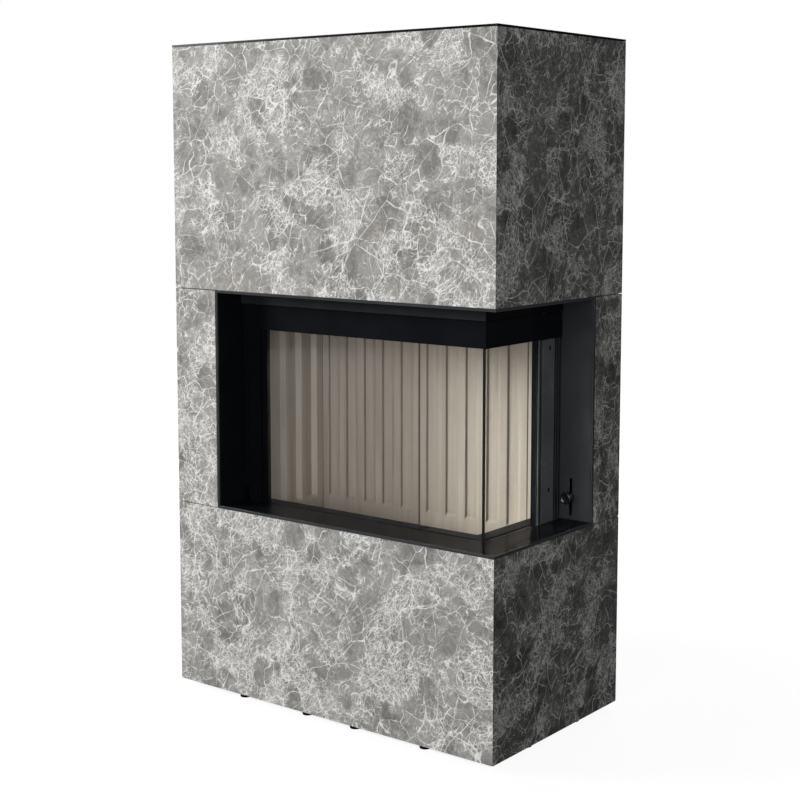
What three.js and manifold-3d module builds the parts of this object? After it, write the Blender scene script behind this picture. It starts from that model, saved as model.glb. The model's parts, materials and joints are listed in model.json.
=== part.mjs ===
// Corner fireplace: a free-standing, stone-clad casing round a firebox whose glass is L-shaped in plan
// and slides up behind the casing's head, hung on two chains with counterweights.
// Millimetres, +Z up. Origin on the floor under the middle of the casing.
// The front faces -Y, the glazed side faces +X, and the two glass panes meet at the front right corner.
import * as THREE from 'three';
import { mergeVertices } from 'three/addons/utils/BufferGeometryUtils.js';
import Module from 'manifold-3d';

const wasm = await Module();
wasm.setup();

// ---- Driving dimensions: casing -------------------------------------------------------------------------
const width = 1130;
const depth = 622;
const height = 1890;
const footGap = 20; // underside of the stone above the floor
const slab = 20; // thickness of the stone
const slabJoint = 2;
const mitreGap = 0.5;
const coverThickness = 6;
const coverVentX = 300; // vents in the cover: from the middle, and their length and width
const coverVent = [220, 90];
const rearVentInset = 145; // rear vent from the casing's left face
const rearVentToSpigot = 250;
const rearVentZ = [85, 195];
const leftColumn = 159; // stone left of the opening
const rearColumn = 140; // stone behind the opening, on the glazed side
const openingBottom = 560;
const openingTop = 1194;
const sheet = 3; // steel of the recess, panels and firebox
const touch = 0.3; // gap between pieces that rest on each other
const running = 1; // gap beside a piece that moves

// ---- Driving dimensions: recess -------------------------------------------------------------------------
const trimWidth = 8;
const trimDepth = 5;
const recessDepth = 103; // from the stone's faces to the door's outer planes
const ledgeOverhang = 2; // ledge edge in front of the door
const accessWidth = 66;
const accessGap = 1;
const lintelBottom = 1078;
const lintelHeight = 70;
const lintelSheet = 2.5;
const lintelClearance = 2.5; // between lintel and door
const lintelEndLeft = 23; // from the recess's jambs to the lintel's ends
const lintelEndRear = 12;
const fasciaGap = 1.5;
const jambLap = 6; // right jamb behind the door's side plane

// ---- Driving dimensions: door ---------------------------------------------------------------------------
const doorDepth = 20;
const profileDepth = 18;
const glass = 5;
const glassInset = 2; // glass behind the door's outer plane
const glassPlay = 0.3;
const railGapLeft = 22; // from the left jamb to the door
const railGapRear = 36; // from the rear jamb to the door
const stileLeftWidth = 69;
const stileRearWidth = 80;
const doorOverlap = 38; // door above the lintel's lower edge
const doorBelowLedge = 22;
const profileBelowLedge = 2;
const profileHeight = 20;
const pocketDepth = 6;
const cornerGap = 3;
const lockHoleRadius = 6;
const lockFromEdge = 22; // lock screws from the rear stile's outer edge
const lockHeights = [657, 1051];

// ---- Driving dimensions: guide rails and lift gear ------------------------------------------------------
const railSheet = 2;
const railInset = 9; // channel behind the door's outer plane
const railEnds = { left: [2.5, 21.4], rear: [4, 26] }; // rail from the stile's edge: where it starts and ends
const railFins = { left: 2.5, rear: 9 }; // first fin from the stile's edge
const railBottomLeft = 608; // the rear rail stands on the firebox rim
const railPastShoe = 55; // rail above the upper shoe when the door is up
const channelWidth = 10;
const shoeHeight = 60;
const shoeHeights = [620, 1040];
const pulleyRadius = 60; // to the middle of the chain
const pulleyBelowBeam = 95.7; // pulley's middle under the beams
const lugBelowPulley = 34; // door's lugs under the pulleys' rims when the door is up
const pulleyWidth = 16;
const flangeHeight = 5;
const axleRadius = 6;
const chainRadius = 3;
const lugHeight = 20;
const weightHeight = 400;
const weightWide = 66;
const weightDeep = 40;
const weightBelowPulley = 130; // counterweight's top under the pulley's middle
const rodRadius = 5;
const rodFromWeightMiddle = 18;
const rodPastWeight = 35; // rod below the counterweight when the door is up

// ---- Driving dimensions: firebox ------------------------------------------------------------------------
const rimSet = 22; // rim's outer edge behind the door's outer plane
const rimWidth = 43;
const fireboxBase = 430;
const fireboxTop = 1150;
const floorTop = 470;
const liningThickness = 30;
const liningTop = 1110;
const liningBeforeJamb = 54; // face of the back lining in front of the rear jamb
const liningPastJamb = 39; // face of the left lining to the right of the left jamb
const liningLap = 5; // back lining behind the left lining
const wallGapLeft = 5; // between lining and firebox wall
const wallGapBack = 9;
const channelPitch = 70;
const channelOpen = 46;
const channelDepth = { back: 6, left: 12 };
const channelMargin = 15; // least stone beside a panel's outer channels
const channelFoot = 532;
const brickCount = 4; // bricks that the floor is scored into
const baffleThickness = 25;
const baffleSetBack = 60; // baffle behind the curb
const fillerWidth = 11;
const postWidth = 40;
const domeTop = 1450;
const domeLength = 600;
const domeDepth = 220;
const domeBeforeLining = 99; // dome's middle in front of the back lining's face
const flueBehindDome = 50;
const flueRadius = 100;
const flueWall = 2;
const flueBelowCover = 2;

// ---- Driving dimensions: combustion air -----------------------------------------------------------------
const leverFromSide = 68.5; // from the casing's side face
const leverZ = 632;
const leverPlate = 18; // width of the plate that carries the lever
const leverTravel = 45;
const slotWidth = 9;
const slotHeight = 104;
const leverRadius = 3.6;
const knobRadius = 16.5;
const knobLength = 22;
const knobStandOff = 8;
const portBelowLever = 200;
const portWidth = 54;
const portHeight = 80;
const damperLap = 5;
const ductToLever = 16.5;
const ductWidth = 100;
const ductBottom = 330;
const ductTop = 545;
const ductBehindJamb = 17;
const ductToFrame = 1.7;
const ductWall = 2;
const neckWidth = 27;
const neckHeight = 71;
const neckBelowTop = 17;
const portFromEnd = 8;
const spigotRadius = 62.5;
const spigotLength = 60;
const spigotToDuct = 50;
const spigotZ = 230;

// ---- Driving dimensions: frame and feet -----------------------------------------------------------------
const tube = 25;
const frameGap = 8; // between stone and frame
const railZ = 31; // underside of the base rails
const footRailBottom = 11;
const footRailLength = 330;
const footSpacing = 242;
const footRailPlaces = { front: [197.5, -219.5], side: [26.5] };
const padRadius = 15;
const padHeight = 6;
const stemRadius = 5;
const legWide = 30;

// ---- Derived places -------------------------------------------------------------------------------------
const left = -width / 2;
const right = width / 2;
const front = -depth / 2;
const back = depth / 2;
const stoneTop = height - coverThickness;
const openLeft = left + leftColumn;
const openRear = back - rearColumn;
const recessLeft = openLeft + trimWidth;
const recessRear = openRear - trimWidth;
const ledgeTop = openingBottom + trimWidth;
const soffitZ = openingTop - trimWidth;
const recessFront = front + trimDepth + touch; // where the recess sheets start, behind the trim
const recessSide = right - trimDepth - touch;
const doorFront = front + recessDepth;
const doorSide = right - recessDepth;
const doorLeft = recessLeft + railGapLeft;
const doorRear = recessRear - railGapRear;
const doorTop = lintelBottom + doorOverlap;
const doorBottom = ledgeTop - doorBelowLedge;
const stileLeftInner = doorLeft + stileLeftWidth;
const stileRearInner = doorRear - stileRearWidth;
const ledgeFront = doorFront - ledgeOverhang; // inner edges of the ledge
const ledgeSide = doorSide + ledgeOverhang;
const lintelFront = doorFront - lintelClearance - lintelSheet; // outer faces of the lintel
const lintelSide = doorSide + lintelClearance + lintelSheet;
const rimFront = doorFront + rimSet;
const rimSide = doorSide - rimSet;
const liningLeft = recessLeft + liningPastJamb;
const liningRight = rimSide - rimWidth + touch;
const liningBack = recessRear - liningBeforeJamb;
const liningFront = rimFront + rimWidth + touch;
const panelsLeft = liningLeft - liningLap;
const panelWidth = (liningRight - fillerWidth - touch - panelsLeft) / 2;
const shellLeft = liningLeft - liningThickness - wallGapLeft;
const shellBack = liningBack + liningThickness + wallGapBack;
const domeMiddleY = liningBack - domeBeforeLining;
const flueY = domeMiddleY + flueBehindDome;
const leverX = right - leverFromSide;
const ductRight = leverX - ductToLever;
const ductLeft = ductRight - ductWidth;
const ductFront = recessRear + ductBehindJamb;
const spigotX = ductLeft - spigotToDuct;
const frameLeft = left + slab + frameGap;
const frameRight = right - slab - frameGap;
const frameFront = front + slab + frameGap;
const frameBack = back - sheet - touch;
const ductBack = frameBack - tube - ductToFrame;
const railHeights = {
  base: railZ,
  ledge: openingBottom + trimWidth - 2 * (sheet + touch) - tube,
  head: openingTop + slabJoint,
  top: stoneTop - touch - tube - frameGap,
};
const beamZ = railHeights.top - tube;
const lugZ = doorTop + lugHeight;
const lugLeft = doorLeft + stileLeftWidth / 2 - 3.5;
const lugRear = doorRear - stileRearWidth / 2;
const lugDepth = doorDepth / 2;
const pulleyZ = beamZ - pulleyBelowBeam;
const doorTravel = pulleyZ - pulleyRadius - lugBelowPulley - lugZ;
const railTop = shoeHeights[1] + shoeHeight + doorTravel + railPastShoe;
const weightTop = pulleyZ - weightBelowPulley;
const rodBottom = weightTop - weightHeight - doorTravel - rodPastWeight;

// ---- Tools ----------------------------------------------------------------------------------------------
function box(x0, x1, y0, y1, z0, z1) {
  const geometry = new THREE.BoxGeometry(x1 - x0, y1 - y0, z1 - z0);
  geometry.translate((x0 + x1) / 2, (y0 + y1) / 2, (z0 + z1) / 2);
  return geometry;
}

// An outline of [x, y] points carried up from z0 to z1.
function upright(points, z0, z1) {
  const shape = new THREE.Shape(points.map(([x, y]) => new THREE.Vector2(x, y)));
  const geometry = new THREE.ExtrudeGeometry(shape, { depth: z1 - z0, bevelEnabled: false });
  geometry.translate(0, 0, z0);
  return geometry;
}

// A strip that is L-shaped in plan: along the front to the outer corner, then back along the side.
function ell(xEnd, xCorner, yCorner, yEnd, strip, z0, z1) {
  const outline = [
    [xEnd, yCorner], [xCorner, yCorner], [xCorner, yEnd],
    [xCorner - strip, yEnd], [xCorner - strip, yCorner + strip], [xEnd, yCorner + strip],
  ];
  return upright(outline, z0, z1);
}

// A rod or disc along one axis: 'x', 'y' or 'z'.
function rod(axis, radius, length, x, y, z, sides = 24) {
  const geometry = new THREE.CylinderGeometry(radius, radius, length, sides);
  if (axis === 'x') geometry.rotateZ(Math.PI / 2);
  if (axis === 'z') geometry.rotateX(Math.PI / 2);
  geometry.translate(x, y, z);
  return geometry;
}

function solid(geometry) {
  const bare = geometry.clone();
  bare.deleteAttribute('normal');
  bare.deleteAttribute('uv');
  const merged = mergeVertices(bare, 1e-4);
  return new wasm.Manifold(new wasm.Mesh({
    numProp: 3,
    vertProperties: new Float32Array(merged.attributes.position.array),
    triVerts: new Uint32Array(merged.index.array),
  }));
}

function surface(manifold) {
  const mesh = manifold.getMesh();
  const geometry = new THREE.BufferGeometry();
  geometry.setAttribute('position', new THREE.BufferAttribute(mesh.vertProperties, 3));
  geometry.setIndex(new THREE.BufferAttribute(mesh.triVerts, 1));
  geometry.computeVertexNormals();
  return geometry;
}

function join(...pieces) {
  return surface(pieces.map(solid).reduce((whole, piece) => whole.add(piece)));
}

function cut(piece, ...tools) {
  return surface(tools.map(solid).reduce((whole, tool) => whole.subtract(tool), solid(piece)));
}

const finishes = {
  frontStone: [0xa5a3a0, 0.35, 0],
  sideStone: [0x8f8e8a, 0.35, 0],
  blackSteel: [0x1b1c1f, 0.45, 0.4],
  greySteel: [0x2c2e31, 0.5, 0.4],
  zincSteel: [0x8b8f92, 0.4, 0.8],
  castSteel: [0x303236, 0.6, 0.7],
  fireclay: [0xb0a595, 0.9, 0],
  glass: [0xdfe6e6, 0.05, 0],
  seal: [0x0a0a0a, 0.8, 0],
};

function add(parent, name, geometry, finish) {
  const [color, roughness, metalness] = finishes[finish];
  const material = new THREE.MeshStandardMaterial({ color, roughness, metalness });
  if (finish === 'glass') {
    material.transparent = true;
    material.opacity = 0.3;
  }
  const mesh = new THREE.Mesh(geometry, material);
  mesh.name = name;
  parent.add(mesh);
  return mesh;
}

// ---- Stone and casing -----------------------------------------------------------------------------------
// Slabs of the front face, mitred against the sides.
function frontSlab(x0, x1, z0, z1) {
  const inner0 = x0 + (x0 < openLeft ? slab : 0);
  const inner1 = x1 - (x1 > openLeft ? slab : 0);
  return upright([[x0, front], [x1, front], [inner1, front + slab], [inner0, front + slab]], z0, z1);
}

// Slabs of the two side faces: outer is the face's x, inward the direction into the casing.
function endSlab(outer, inward, y0, z0, z1) {
  const mitred = y0 < openRear;
  const start = mitred ? y0 + mitreGap : y0;
  const innerStart = mitred ? start + slab : start;
  const inner = outer + inward * slab;
  return upright([[outer, start], [outer, back], [inner, back], [inner, innerStart]], z0, z1);
}

function buildStone(casing) {
  const lower = [footGap, openingBottom];
  const middle = [openingBottom + slabJoint, openingTop - slabJoint];
  const upper = [openingTop, stoneTop - touch];
  const x0 = left + mitreGap;
  const x1 = right - mitreGap;
  add(casing, 'front_slab_lower', frontSlab(x0, x1, ...lower), 'frontStone');
  add(casing, 'front_slab_column', frontSlab(x0, openLeft, ...middle), 'frontStone');
  add(casing, 'front_slab_upper', frontSlab(x0, x1, ...upper), 'frontStone');
  add(casing, 'side_slab_lower', endSlab(right, -1, front, ...lower), 'sideStone');
  add(casing, 'side_slab_column', endSlab(right, -1, openRear, ...middle), 'sideStone');
  add(casing, 'side_slab_upper', endSlab(right, -1, front, ...upper), 'sideStone');
  add(casing, 'left_slab_lower', endSlab(left, 1, front, ...lower), 'sideStone');
  add(casing, 'left_slab_middle', endSlab(left, 1, front, ...middle), 'sideStone');
  add(casing, 'left_slab_upper', endSlab(left, 1, front, ...upper), 'sideStone');
}

// The top plate, with the flue's hole and a vent on each side of it that lets the warm air out.
function coverPlate() {
  const vents = [-1, 1].map((side) => box(side * coverVentX - coverVent[0] / 2, side * coverVentX + coverVent[0] / 2,
    flueY - coverVent[1] / 2, flueY + coverVent[1] / 2, stoneTop - 1, height + 1));
  const flueHole = rod('z', flueRadius + 5, 40, 0, flueY, height, 36);
  return cut(box(left, right, front, back, stoneTop, height), flueHole, ...vents);
}

// Rear panels lie between the side slabs. The lower one has an air vent and the spigot for outside air.
function rearPanel(z0, z1) {
  return box(left + slab + running, right - slab - running, back - sheet, back, z0, z1);
}

function buildRear(casing) {
  const vent = box(left + rearVentInset, spigotX - rearVentToSpigot, back - 2 * sheet, back + 1, ...rearVentZ);
  const spigotY = back - sheet - spigotLength / 2 + touch;
  const spigot = rod('y', spigotRadius, spigotLength, spigotX, spigotY, spigotZ, 36);
  const bore = rod('y', spigotRadius - 2, spigotLength * 3, spigotX, back, spigotZ, 36);
  add(casing, 'rear_panel_lower', cut(join(rearPanel(footGap, openingBottom), spigot), bore, vent), 'zincSteel');
  add(casing, 'rear_panel_upper', rearPanel(openingBottom + touch, stoneTop - touch), 'zincSteel');
  add(casing, 'cover_plate', coverPlate(), 'blackSteel');
}

// Steel edge of the opening, flush with the stone: an L-shaped bar below and above, and an upright at each end.
function openingTrim() {
  const x0 = openLeft + touch;
  const y1 = openRear - touch;
  const z0 = openingBottom + touch;
  const z1 = openingTop - touch;
  return join(
    ell(x0, right, front, y1, trimDepth, z0, ledgeTop),
    ell(x0, right, front, y1, trimDepth, soffitZ, z1),
    box(x0, recessLeft, front, front + trimDepth, z0, z1),
    box(right - trimDepth, right, recessRear, y1, z0, z1),
  );
}

// ---- Frame and feet -------------------------------------------------------------------------------------
// Four bars round the casing at one height.
function frameRing(z) {
  const bar = (x0, x1, y0, y1) => box(x0, x1, y0, y1, z, z + tube);
  return [
    bar(frameLeft, frameRight, frameFront, frameFront + tube),
    bar(frameLeft, frameRight, frameBack - tube, frameBack),
    bar(frameLeft, frameLeft + tube, frameFront, frameBack),
    bar(frameRight - tube, frameRight, frameFront, frameBack),
  ];
}

// The welded frame behind the stone: posts, three rings and the two beams that carry the lift gear.
function casingFrame() {
  const bottom = railZ + tube + touch;
  const top = railHeights.top + tube;
  const post = (x, y, z0, z1) => box(x, x + tube, y, y + tube, z0, z1);
  const beam = (x) => box(x - tube / 2, x + tube / 2, frameFront, frameBack, beamZ, beamZ + tube + 1);
  return join(
    post(frameLeft, frameFront, bottom, top),
    post(frameLeft, frameBack - tube, bottom, top),
    post(frameRight - tube, frameBack - tube, bottom, top),
    post(frameRight - tube, frameFront, bottom, railHeights.ledge + tube),
    post(frameRight - tube, frameFront, railHeights.head, top),
    ...frameRing(railHeights.ledge),
    ...frameRing(railHeights.head),
    ...frameRing(railHeights.top),
    beam(lugLeft - pulleyRadius),
    beam(doorSide - lugDepth),
  );
}

// Every foot rail: its middle, and whether it runs along x or along y.
function footRailMiddles() {
  const frontAndBack = footRailPlaces.front.flatMap((x) => [
    { x, y: frameFront + tube / 2, along: 'x' },
    { x, y: frameBack - tube / 2, along: 'x' },
  ]);
  const sides = footRailPlaces.side.flatMap((y) => [
    { x: frameLeft + tube / 2, y, along: 'y' },
    { x: frameRight - tube / 2, y, along: 'y' },
  ]);
  return [...frontAndBack, ...sides];
}

function footRail({ x, y, along }) {
  const [halfX, halfY] = along === 'x' ? [footRailLength / 2, tube / 2] : [tube / 2, footRailLength / 2];
  return box(x - halfX, x + halfX, y - halfY, y + halfY, footRailBottom, railZ + 1);
}

// Two screw feet under a foot rail: a pad and a stem.
function feet({ x, y, along }) {
  return [-1, 1].flatMap((end) => {
    const shift = (end * footSpacing) / 2;
    const [footX, footY] = along === 'x' ? [x + shift, y] : [x, y + shift];
    return [
      rod('z', padRadius, padHeight, footX, footY, padHeight / 2),
      rod('z', stemRadius, railZ, footX, footY, railZ / 2, 12),
    ];
  });
}

// The base: a ring of bars, two cross bars under the firebox, and the foot rails with their screw feet.
function baseFrame(crossX) {
  const middles = footRailMiddles();
  const cross = crossX.map((x) => box(x, x + legWide, frameFront, frameBack, railZ, railZ + tube));
  return join(...frameRing(railZ), ...cross, ...middles.map(footRail), ...middles.flatMap(feet));
}

// The stand between the base and the firebox: four legs under a tray.
function insertStand(crossX) {
  const trayZ = fireboxBase - touch - sheet;
  const legY = [rimFront + 10, shellBack - 10 - legWide];
  const legs = crossX.flatMap((x) => legY.map((y) => box(x, x + legWide, y, y + legWide,
    railZ + tube + touch, trayZ + 1)));
  const tray = box(crossX[0], crossX[1] + legWide, legY[0], legY[1] + legWide, trayZ, fireboxBase - touch);
  const middle = box(crossX[0] + 80, crossX[1] + legWide - 80, legY[0] + 50, legY[1] + legWide - 50,
    trayZ - 1, fireboxBase + 1);
  return cut(join(...legs, tray), middle);
}

function buildFrame(casing) {
  const crossX = [shellLeft + 10, rimSide - 10 - legWide];
  add(casing, 'casing_frame', casingFrame(), 'zincSteel');
  add(casing, 'base_frame', baseFrame(crossX), 'blackSteel');
  add(casing, 'insert_stand', insertStand(crossX), 'zincSteel');
}

// ---- Recess round the glass -----------------------------------------------------------------------------
function buildRecess(casing) {
  add(casing, 'opening_trim', openingTrim(), 'greySteel');

  const ledgeStrip = ledgeFront - recessFront;
  const accessSide = ledgeSide + accessWidth;
  const ledgeZ = ledgeTop - sheet;
  const lip = 5;
  const ledge = cut(
    ell(recessLeft, recessSide, recessFront, recessRear, ledgeStrip, ledgeZ, ledgeTop),
    box(ledgeSide - accessGap, accessSide + accessGap, ledgeFront, recessRear + accessGap, ledgeZ - 1, ledgeTop + 1),
  );
  const lipY = [ledgeFront - lip, recessRear];
  const lips = box(accessSide - lip, accessSide + lip, ...lipY, ledgeZ - sheet, ledgeZ - touch);
  const hanger = box(accessSide + accessGap, accessSide + lip, ...lipY, ledgeZ - sheet, ledgeTop);
  add(casing, 'recess_ledge', join(ledge, lips, hanger), 'blackSteel');
  const plate = box(ledgeSide, accessSide, ledgeFront + accessGap, recessRear - accessGap, ledgeZ, ledgeTop);
  add(casing, 'ledge_access_plate', plate, 'blackSteel');

  const jambZ = [ledgeZ, soffitZ + sheet];
  const jambBack = rimFront - running;
  const jambLeft = box(recessLeft - sheet, recessLeft - touch, recessFront, jambBack, ...jambZ);
  add(casing, 'recess_jamb_left', jambLeft, 'blackSteel');
  const jambRight = cut(
    box(doorSide - jambLap, recessSide, recessRear + touch, recessRear + sheet, ...jambZ),
    box(leverX - slotWidth / 2, leverX + slotWidth / 2, recessRear - 1, recessRear + sheet + 1,
      leverZ - slotHeight / 2, leverZ + slotHeight / 2),
  );
  add(casing, 'recess_jamb_right', jambRight, 'greySteel');

  const soffitStrip = lintelFront - recessFront;
  add(casing, 'recess_soffit', ell(recessLeft, recessSide, recessFront, recessRear, soffitStrip, soffitZ + touch,
    soffitZ + sheet), 'blackSteel');
}

// The lintel cover wraps the corner in front of the door's top. Two fascia strips above it carry it.
function buildLintel(insert) {
  const top = lintelBottom + lintelHeight;
  const xEnd = recessLeft + lintelEndLeft;
  const yEnd = recessRear - lintelEndRear;
  const cover = ell(xEnd, lintelSide, lintelFront, yEnd, lintelSheet, lintelBottom, top);
  const tab = 1.2; // thickness of the hooks that reach up behind the fascia
  const hookZ = [top - 15, top + 15];
  const hooks = [0.1, 0.5, 0.9].flatMap((share) => {
    const x = xEnd + share * (lintelSide - xEnd);
    const y = lintelFront + share * (yEnd - lintelFront);
    const yHook = lintelFront + lintelSheet;
    const xHook = lintelSide - lintelSheet;
    return [box(x - 45, x - 5, yHook - 0.01, yHook + tab, ...hookZ),
      box(xHook - tab, xHook + 0.01, y + 15, y + 35, ...hookZ)];
  });
  add(insert, 'lintel_cover', join(cover, ...hooks), 'blackSteel');

  const strip = lintelSheet - touch - 1; // set back 1 mm behind the lintel's face
  const stripZ = [top + fasciaGap, soffitZ + sheet];
  const face = lintelFront + 1;
  const side = lintelSide - 1;
  add(insert, 'front_fascia_strip', box(recessLeft, side, face, face + strip, ...stripZ), 'greySteel');
  add(insert, 'side_fascia_strip', box(side - strip, side, face + strip + touch, recessRear, ...stripZ), 'blackSteel');
}

// ---- Firebox --------------------------------------------------------------------------------------------
// Body of the firebox, open at the front and at the glazed side above the ledge.
function shellWalls() {
  const lowTop = ledgeTop - sheet - touch;
  const hall = [fireboxBase, liningTop];
  const flangeZ = [ledgeTop + touch, liningTop];
  const postX = rimSide - postWidth;
  const walls = join(
    box(shellLeft, rimSide, rimFront, shellBack, fireboxBase, fireboxBase + sheet),
    box(shellLeft, shellLeft + sheet, rimFront, shellBack, ...hall),
    box(shellLeft, rimSide, shellBack - sheet, shellBack, ...hall),
    box(shellLeft, rimSide, rimFront, rimFront + sheet, fireboxBase, lowTop),
    box(rimSide - sheet, rimSide, rimFront, shellBack, fireboxBase, lowTop),
    box(shellLeft, stileLeftInner - sheet, rimFront, rimFront + sheet, ...flangeZ),
    box(rimSide - sheet, rimSide, stileRearInner, shellBack, ...flangeZ),
    box(postX, rimSide, liningBack, liningBack + sheet, ledgeTop, liningTop),
    box(postX, postX + sheet, liningBack, shellBack, ledgeTop, liningTop),
  );
  const neckPlay = 10;
  return cut(walls, box(ductLeft - neckPlay, ductLeft + neckWidth + 2 * ductWall + neckPlay, shellBack - 2 * sheet,
    shellBack + 1, ductTop - neckBelowTop - neckHeight - ductWall, ductTop - neckBelowTop + ductWall));
}

// Head of the firebox: a shallow box upside down, with the way into the smoke dome cut through its top.
function shellHead() {
  const lip = 10; // under the dome's foot
  const z0 = liningTop + touch;
  return cut(
    box(shellLeft, rimSide, rimFront, shellBack, z0, fireboxTop),
    box(shellLeft + sheet, rimSide - sheet, rimFront + sheet, shellBack - sheet, z0 - 1, fireboxTop - sheet),
    box(-domeLength / 2 + lip, domeLength / 2 - lip, domeMiddleY - domeDepth / 2 + lip,
      domeMiddleY + domeDepth / 2 - lip, fireboxTop - 2 * sheet, fireboxTop + 1),
  );
}

// Grooves of one lining panel: equal channels, centred along the panel, open at the top.
function grooves(length) {
  const land = channelPitch - channelOpen;
  const count = Math.floor((length - 2 * channelMargin + land) / channelPitch);
  const margin = (length + land - count * channelPitch) / 2;
  return Array.from({ length: count }, (_, i) => margin + i * channelPitch);
}

function backPanel(x0) {
  const slabPanel = box(x0, x0 + panelWidth - touch, liningBack, liningBack + liningThickness,
    fireboxBase + sheet + touch, liningTop);
  const channels = grooves(panelWidth).map((at) => box(x0 + at, x0 + at + channelOpen, liningBack - 1,
    liningBack + channelDepth.back, channelFoot, liningTop + 1));
  return cut(slabPanel, ...channels);
}

function leftPanel() {
  const y1 = liningBack - touch;
  const panel = box(liningLeft - liningThickness, liningLeft, liningFront, y1, fireboxBase + sheet + touch, liningTop);
  const channels = grooves(y1 - liningFront).map((at) => box(liningLeft - channelDepth.left, liningLeft + 1,
    liningFront + at, liningFront + at + channelOpen, channelFoot, liningTop + 1));
  return cut(panel, ...channels);
}

// The floor is one slab scored into bricks.
function floorSlab() {
  const x0 = liningLeft + touch;
  const x1 = rimSide - rimWidth - touch;
  const y0 = liningFront;
  const y1 = liningBack - touch;
  const pitch = (x1 - x0) / brickCount;
  const scores = Array.from({ length: brickCount - 1 }, (_, i) => {
    const x = x0 + (i + 1) * pitch;
    return box(x - 1, x + 1, y0 - 1, y1 + 1, floorTop - 4, floorTop + 1);
  });
  return cut(box(x0, x1, y0, y1, fireboxBase + sheet + touch, floorTop), ...scores);
}

// The curb stands behind the firebox's low front and side walls, under the rim.
function liningCurb() {
  const strip = rimWidth - sheet - touch - running;
  return ell(liningLeft + touch, rimSide - sheet - touch, rimFront + sheet + touch, liningBack - touch, strip,
    fireboxBase + sheet + touch, ledgeTop - sheet - touch);
}

// Smoke dome: rings that change from a rounded rectangle to the flue's circle, with a wall of even thickness.
function smokeDome() {
  const sides = 32;
  const steps = 6;
  const wall = sheet;
  const ring = (share, inset) => {
    const rise = share * share * (3 - 2 * share);
    return Array.from({ length: sides }, (_, i) => {
      const angle = ((i + 0.5) / sides) * Math.PI * 2;
      const c = Math.cos(angle);
      const s = Math.sin(angle);
      const stretch = 1 / Math.max(Math.abs(c), Math.abs(s));
      const square = [c * stretch * (domeLength / 2 - inset), domeMiddleY + s * stretch * (domeDepth / 2 - inset)];
      const round = [c * (flueRadius - inset), flueY + s * (flueRadius - inset)];
      return [
        square[0] + (round[0] - square[0]) * rise,
        square[1] + (round[1] - square[1]) * rise,
        fireboxTop + touch + (domeTop - fireboxTop - touch) * share,
      ];
    });
  };
  const outer = Array.from({ length: steps + 1 }, (_, k) => ring(k / steps, 0));
  const inner = Array.from({ length: steps + 1 }, (_, k) => ring(k / steps, wall)).reverse();
  const loop = [...outer, ...inner];
  const points = loop.flat();
  const index = [];
  for (let k = 0; k < loop.length; k++) {
    const next = (k + 1) % loop.length;
    for (let i = 0; i < sides; i++) {
      const j = (i + 1) % sides;
      const corners = [k * sides + i, k * sides + j, next * sides + j, next * sides + i];
      index.push(corners[0], corners[1], corners[2], corners[0], corners[2], corners[3]);
    }
  }
  const geometry = new THREE.BufferGeometry();
  geometry.setAttribute('position', new THREE.Float32BufferAttribute(points.flat(), 3));
  geometry.setIndex(index);
  return geometry;
}

function fluePipe() {
  const z0 = domeTop + touch;
  const z1 = height - flueBelowCover;
  const profile = [[flueRadius - flueWall, z0], [flueRadius, z0], [flueRadius, z1], [flueRadius - flueWall, z1],
    [flueRadius - flueWall, z0]];
  const pipe = new THREE.LatheGeometry(profile.map(([r, z]) => new THREE.Vector2(r, z)), 36);
  pipe.rotateX(Math.PI / 2);
  pipe.translate(0, flueY, 0);
  return pipe;
}

function buildFirebox(insert) {
  add(insert, 'firebox_shell', shellWalls(), 'greySteel');
  add(insert, 'firebox_head', shellHead(), 'greySteel');
  const rim = ell(shellLeft + sheet + touch, rimSide, rimFront, liningBack - touch, rimWidth, ledgeTop - sheet, ledgeTop);
  add(insert, 'firebox_rim', rim, 'greySteel');
  const filler = box(liningRight - fillerWidth, liningRight, liningBack, liningBack + liningThickness,
    fireboxBase + sheet + touch, liningTop);
  add(insert, 'lining_back_left', backPanel(panelsLeft), 'fireclay');
  add(insert, 'lining_back_right', backPanel(panelsLeft + panelWidth), 'fireclay');
  add(insert, 'lining_filler', filler, 'fireclay');
  add(insert, 'lining_left', leftPanel(), 'fireclay');
  add(insert, 'lining_floor', floorSlab(), 'fireclay');
  add(insert, 'lining_curb', liningCurb(), 'fireclay');
  const baffle = box(shellLeft + sheet + touch, liningRight, liningFront + baffleSetBack,
    liningBack + liningThickness, liningTop + touch, liningTop + baffleThickness);
  add(insert, 'baffle_plate', baffle, 'fireclay');
  add(insert, 'smoke_dome', smokeDome(), 'castSteel');
  add(insert, 'flue_pipe', fluePipe(), 'castSteel');
}

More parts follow.
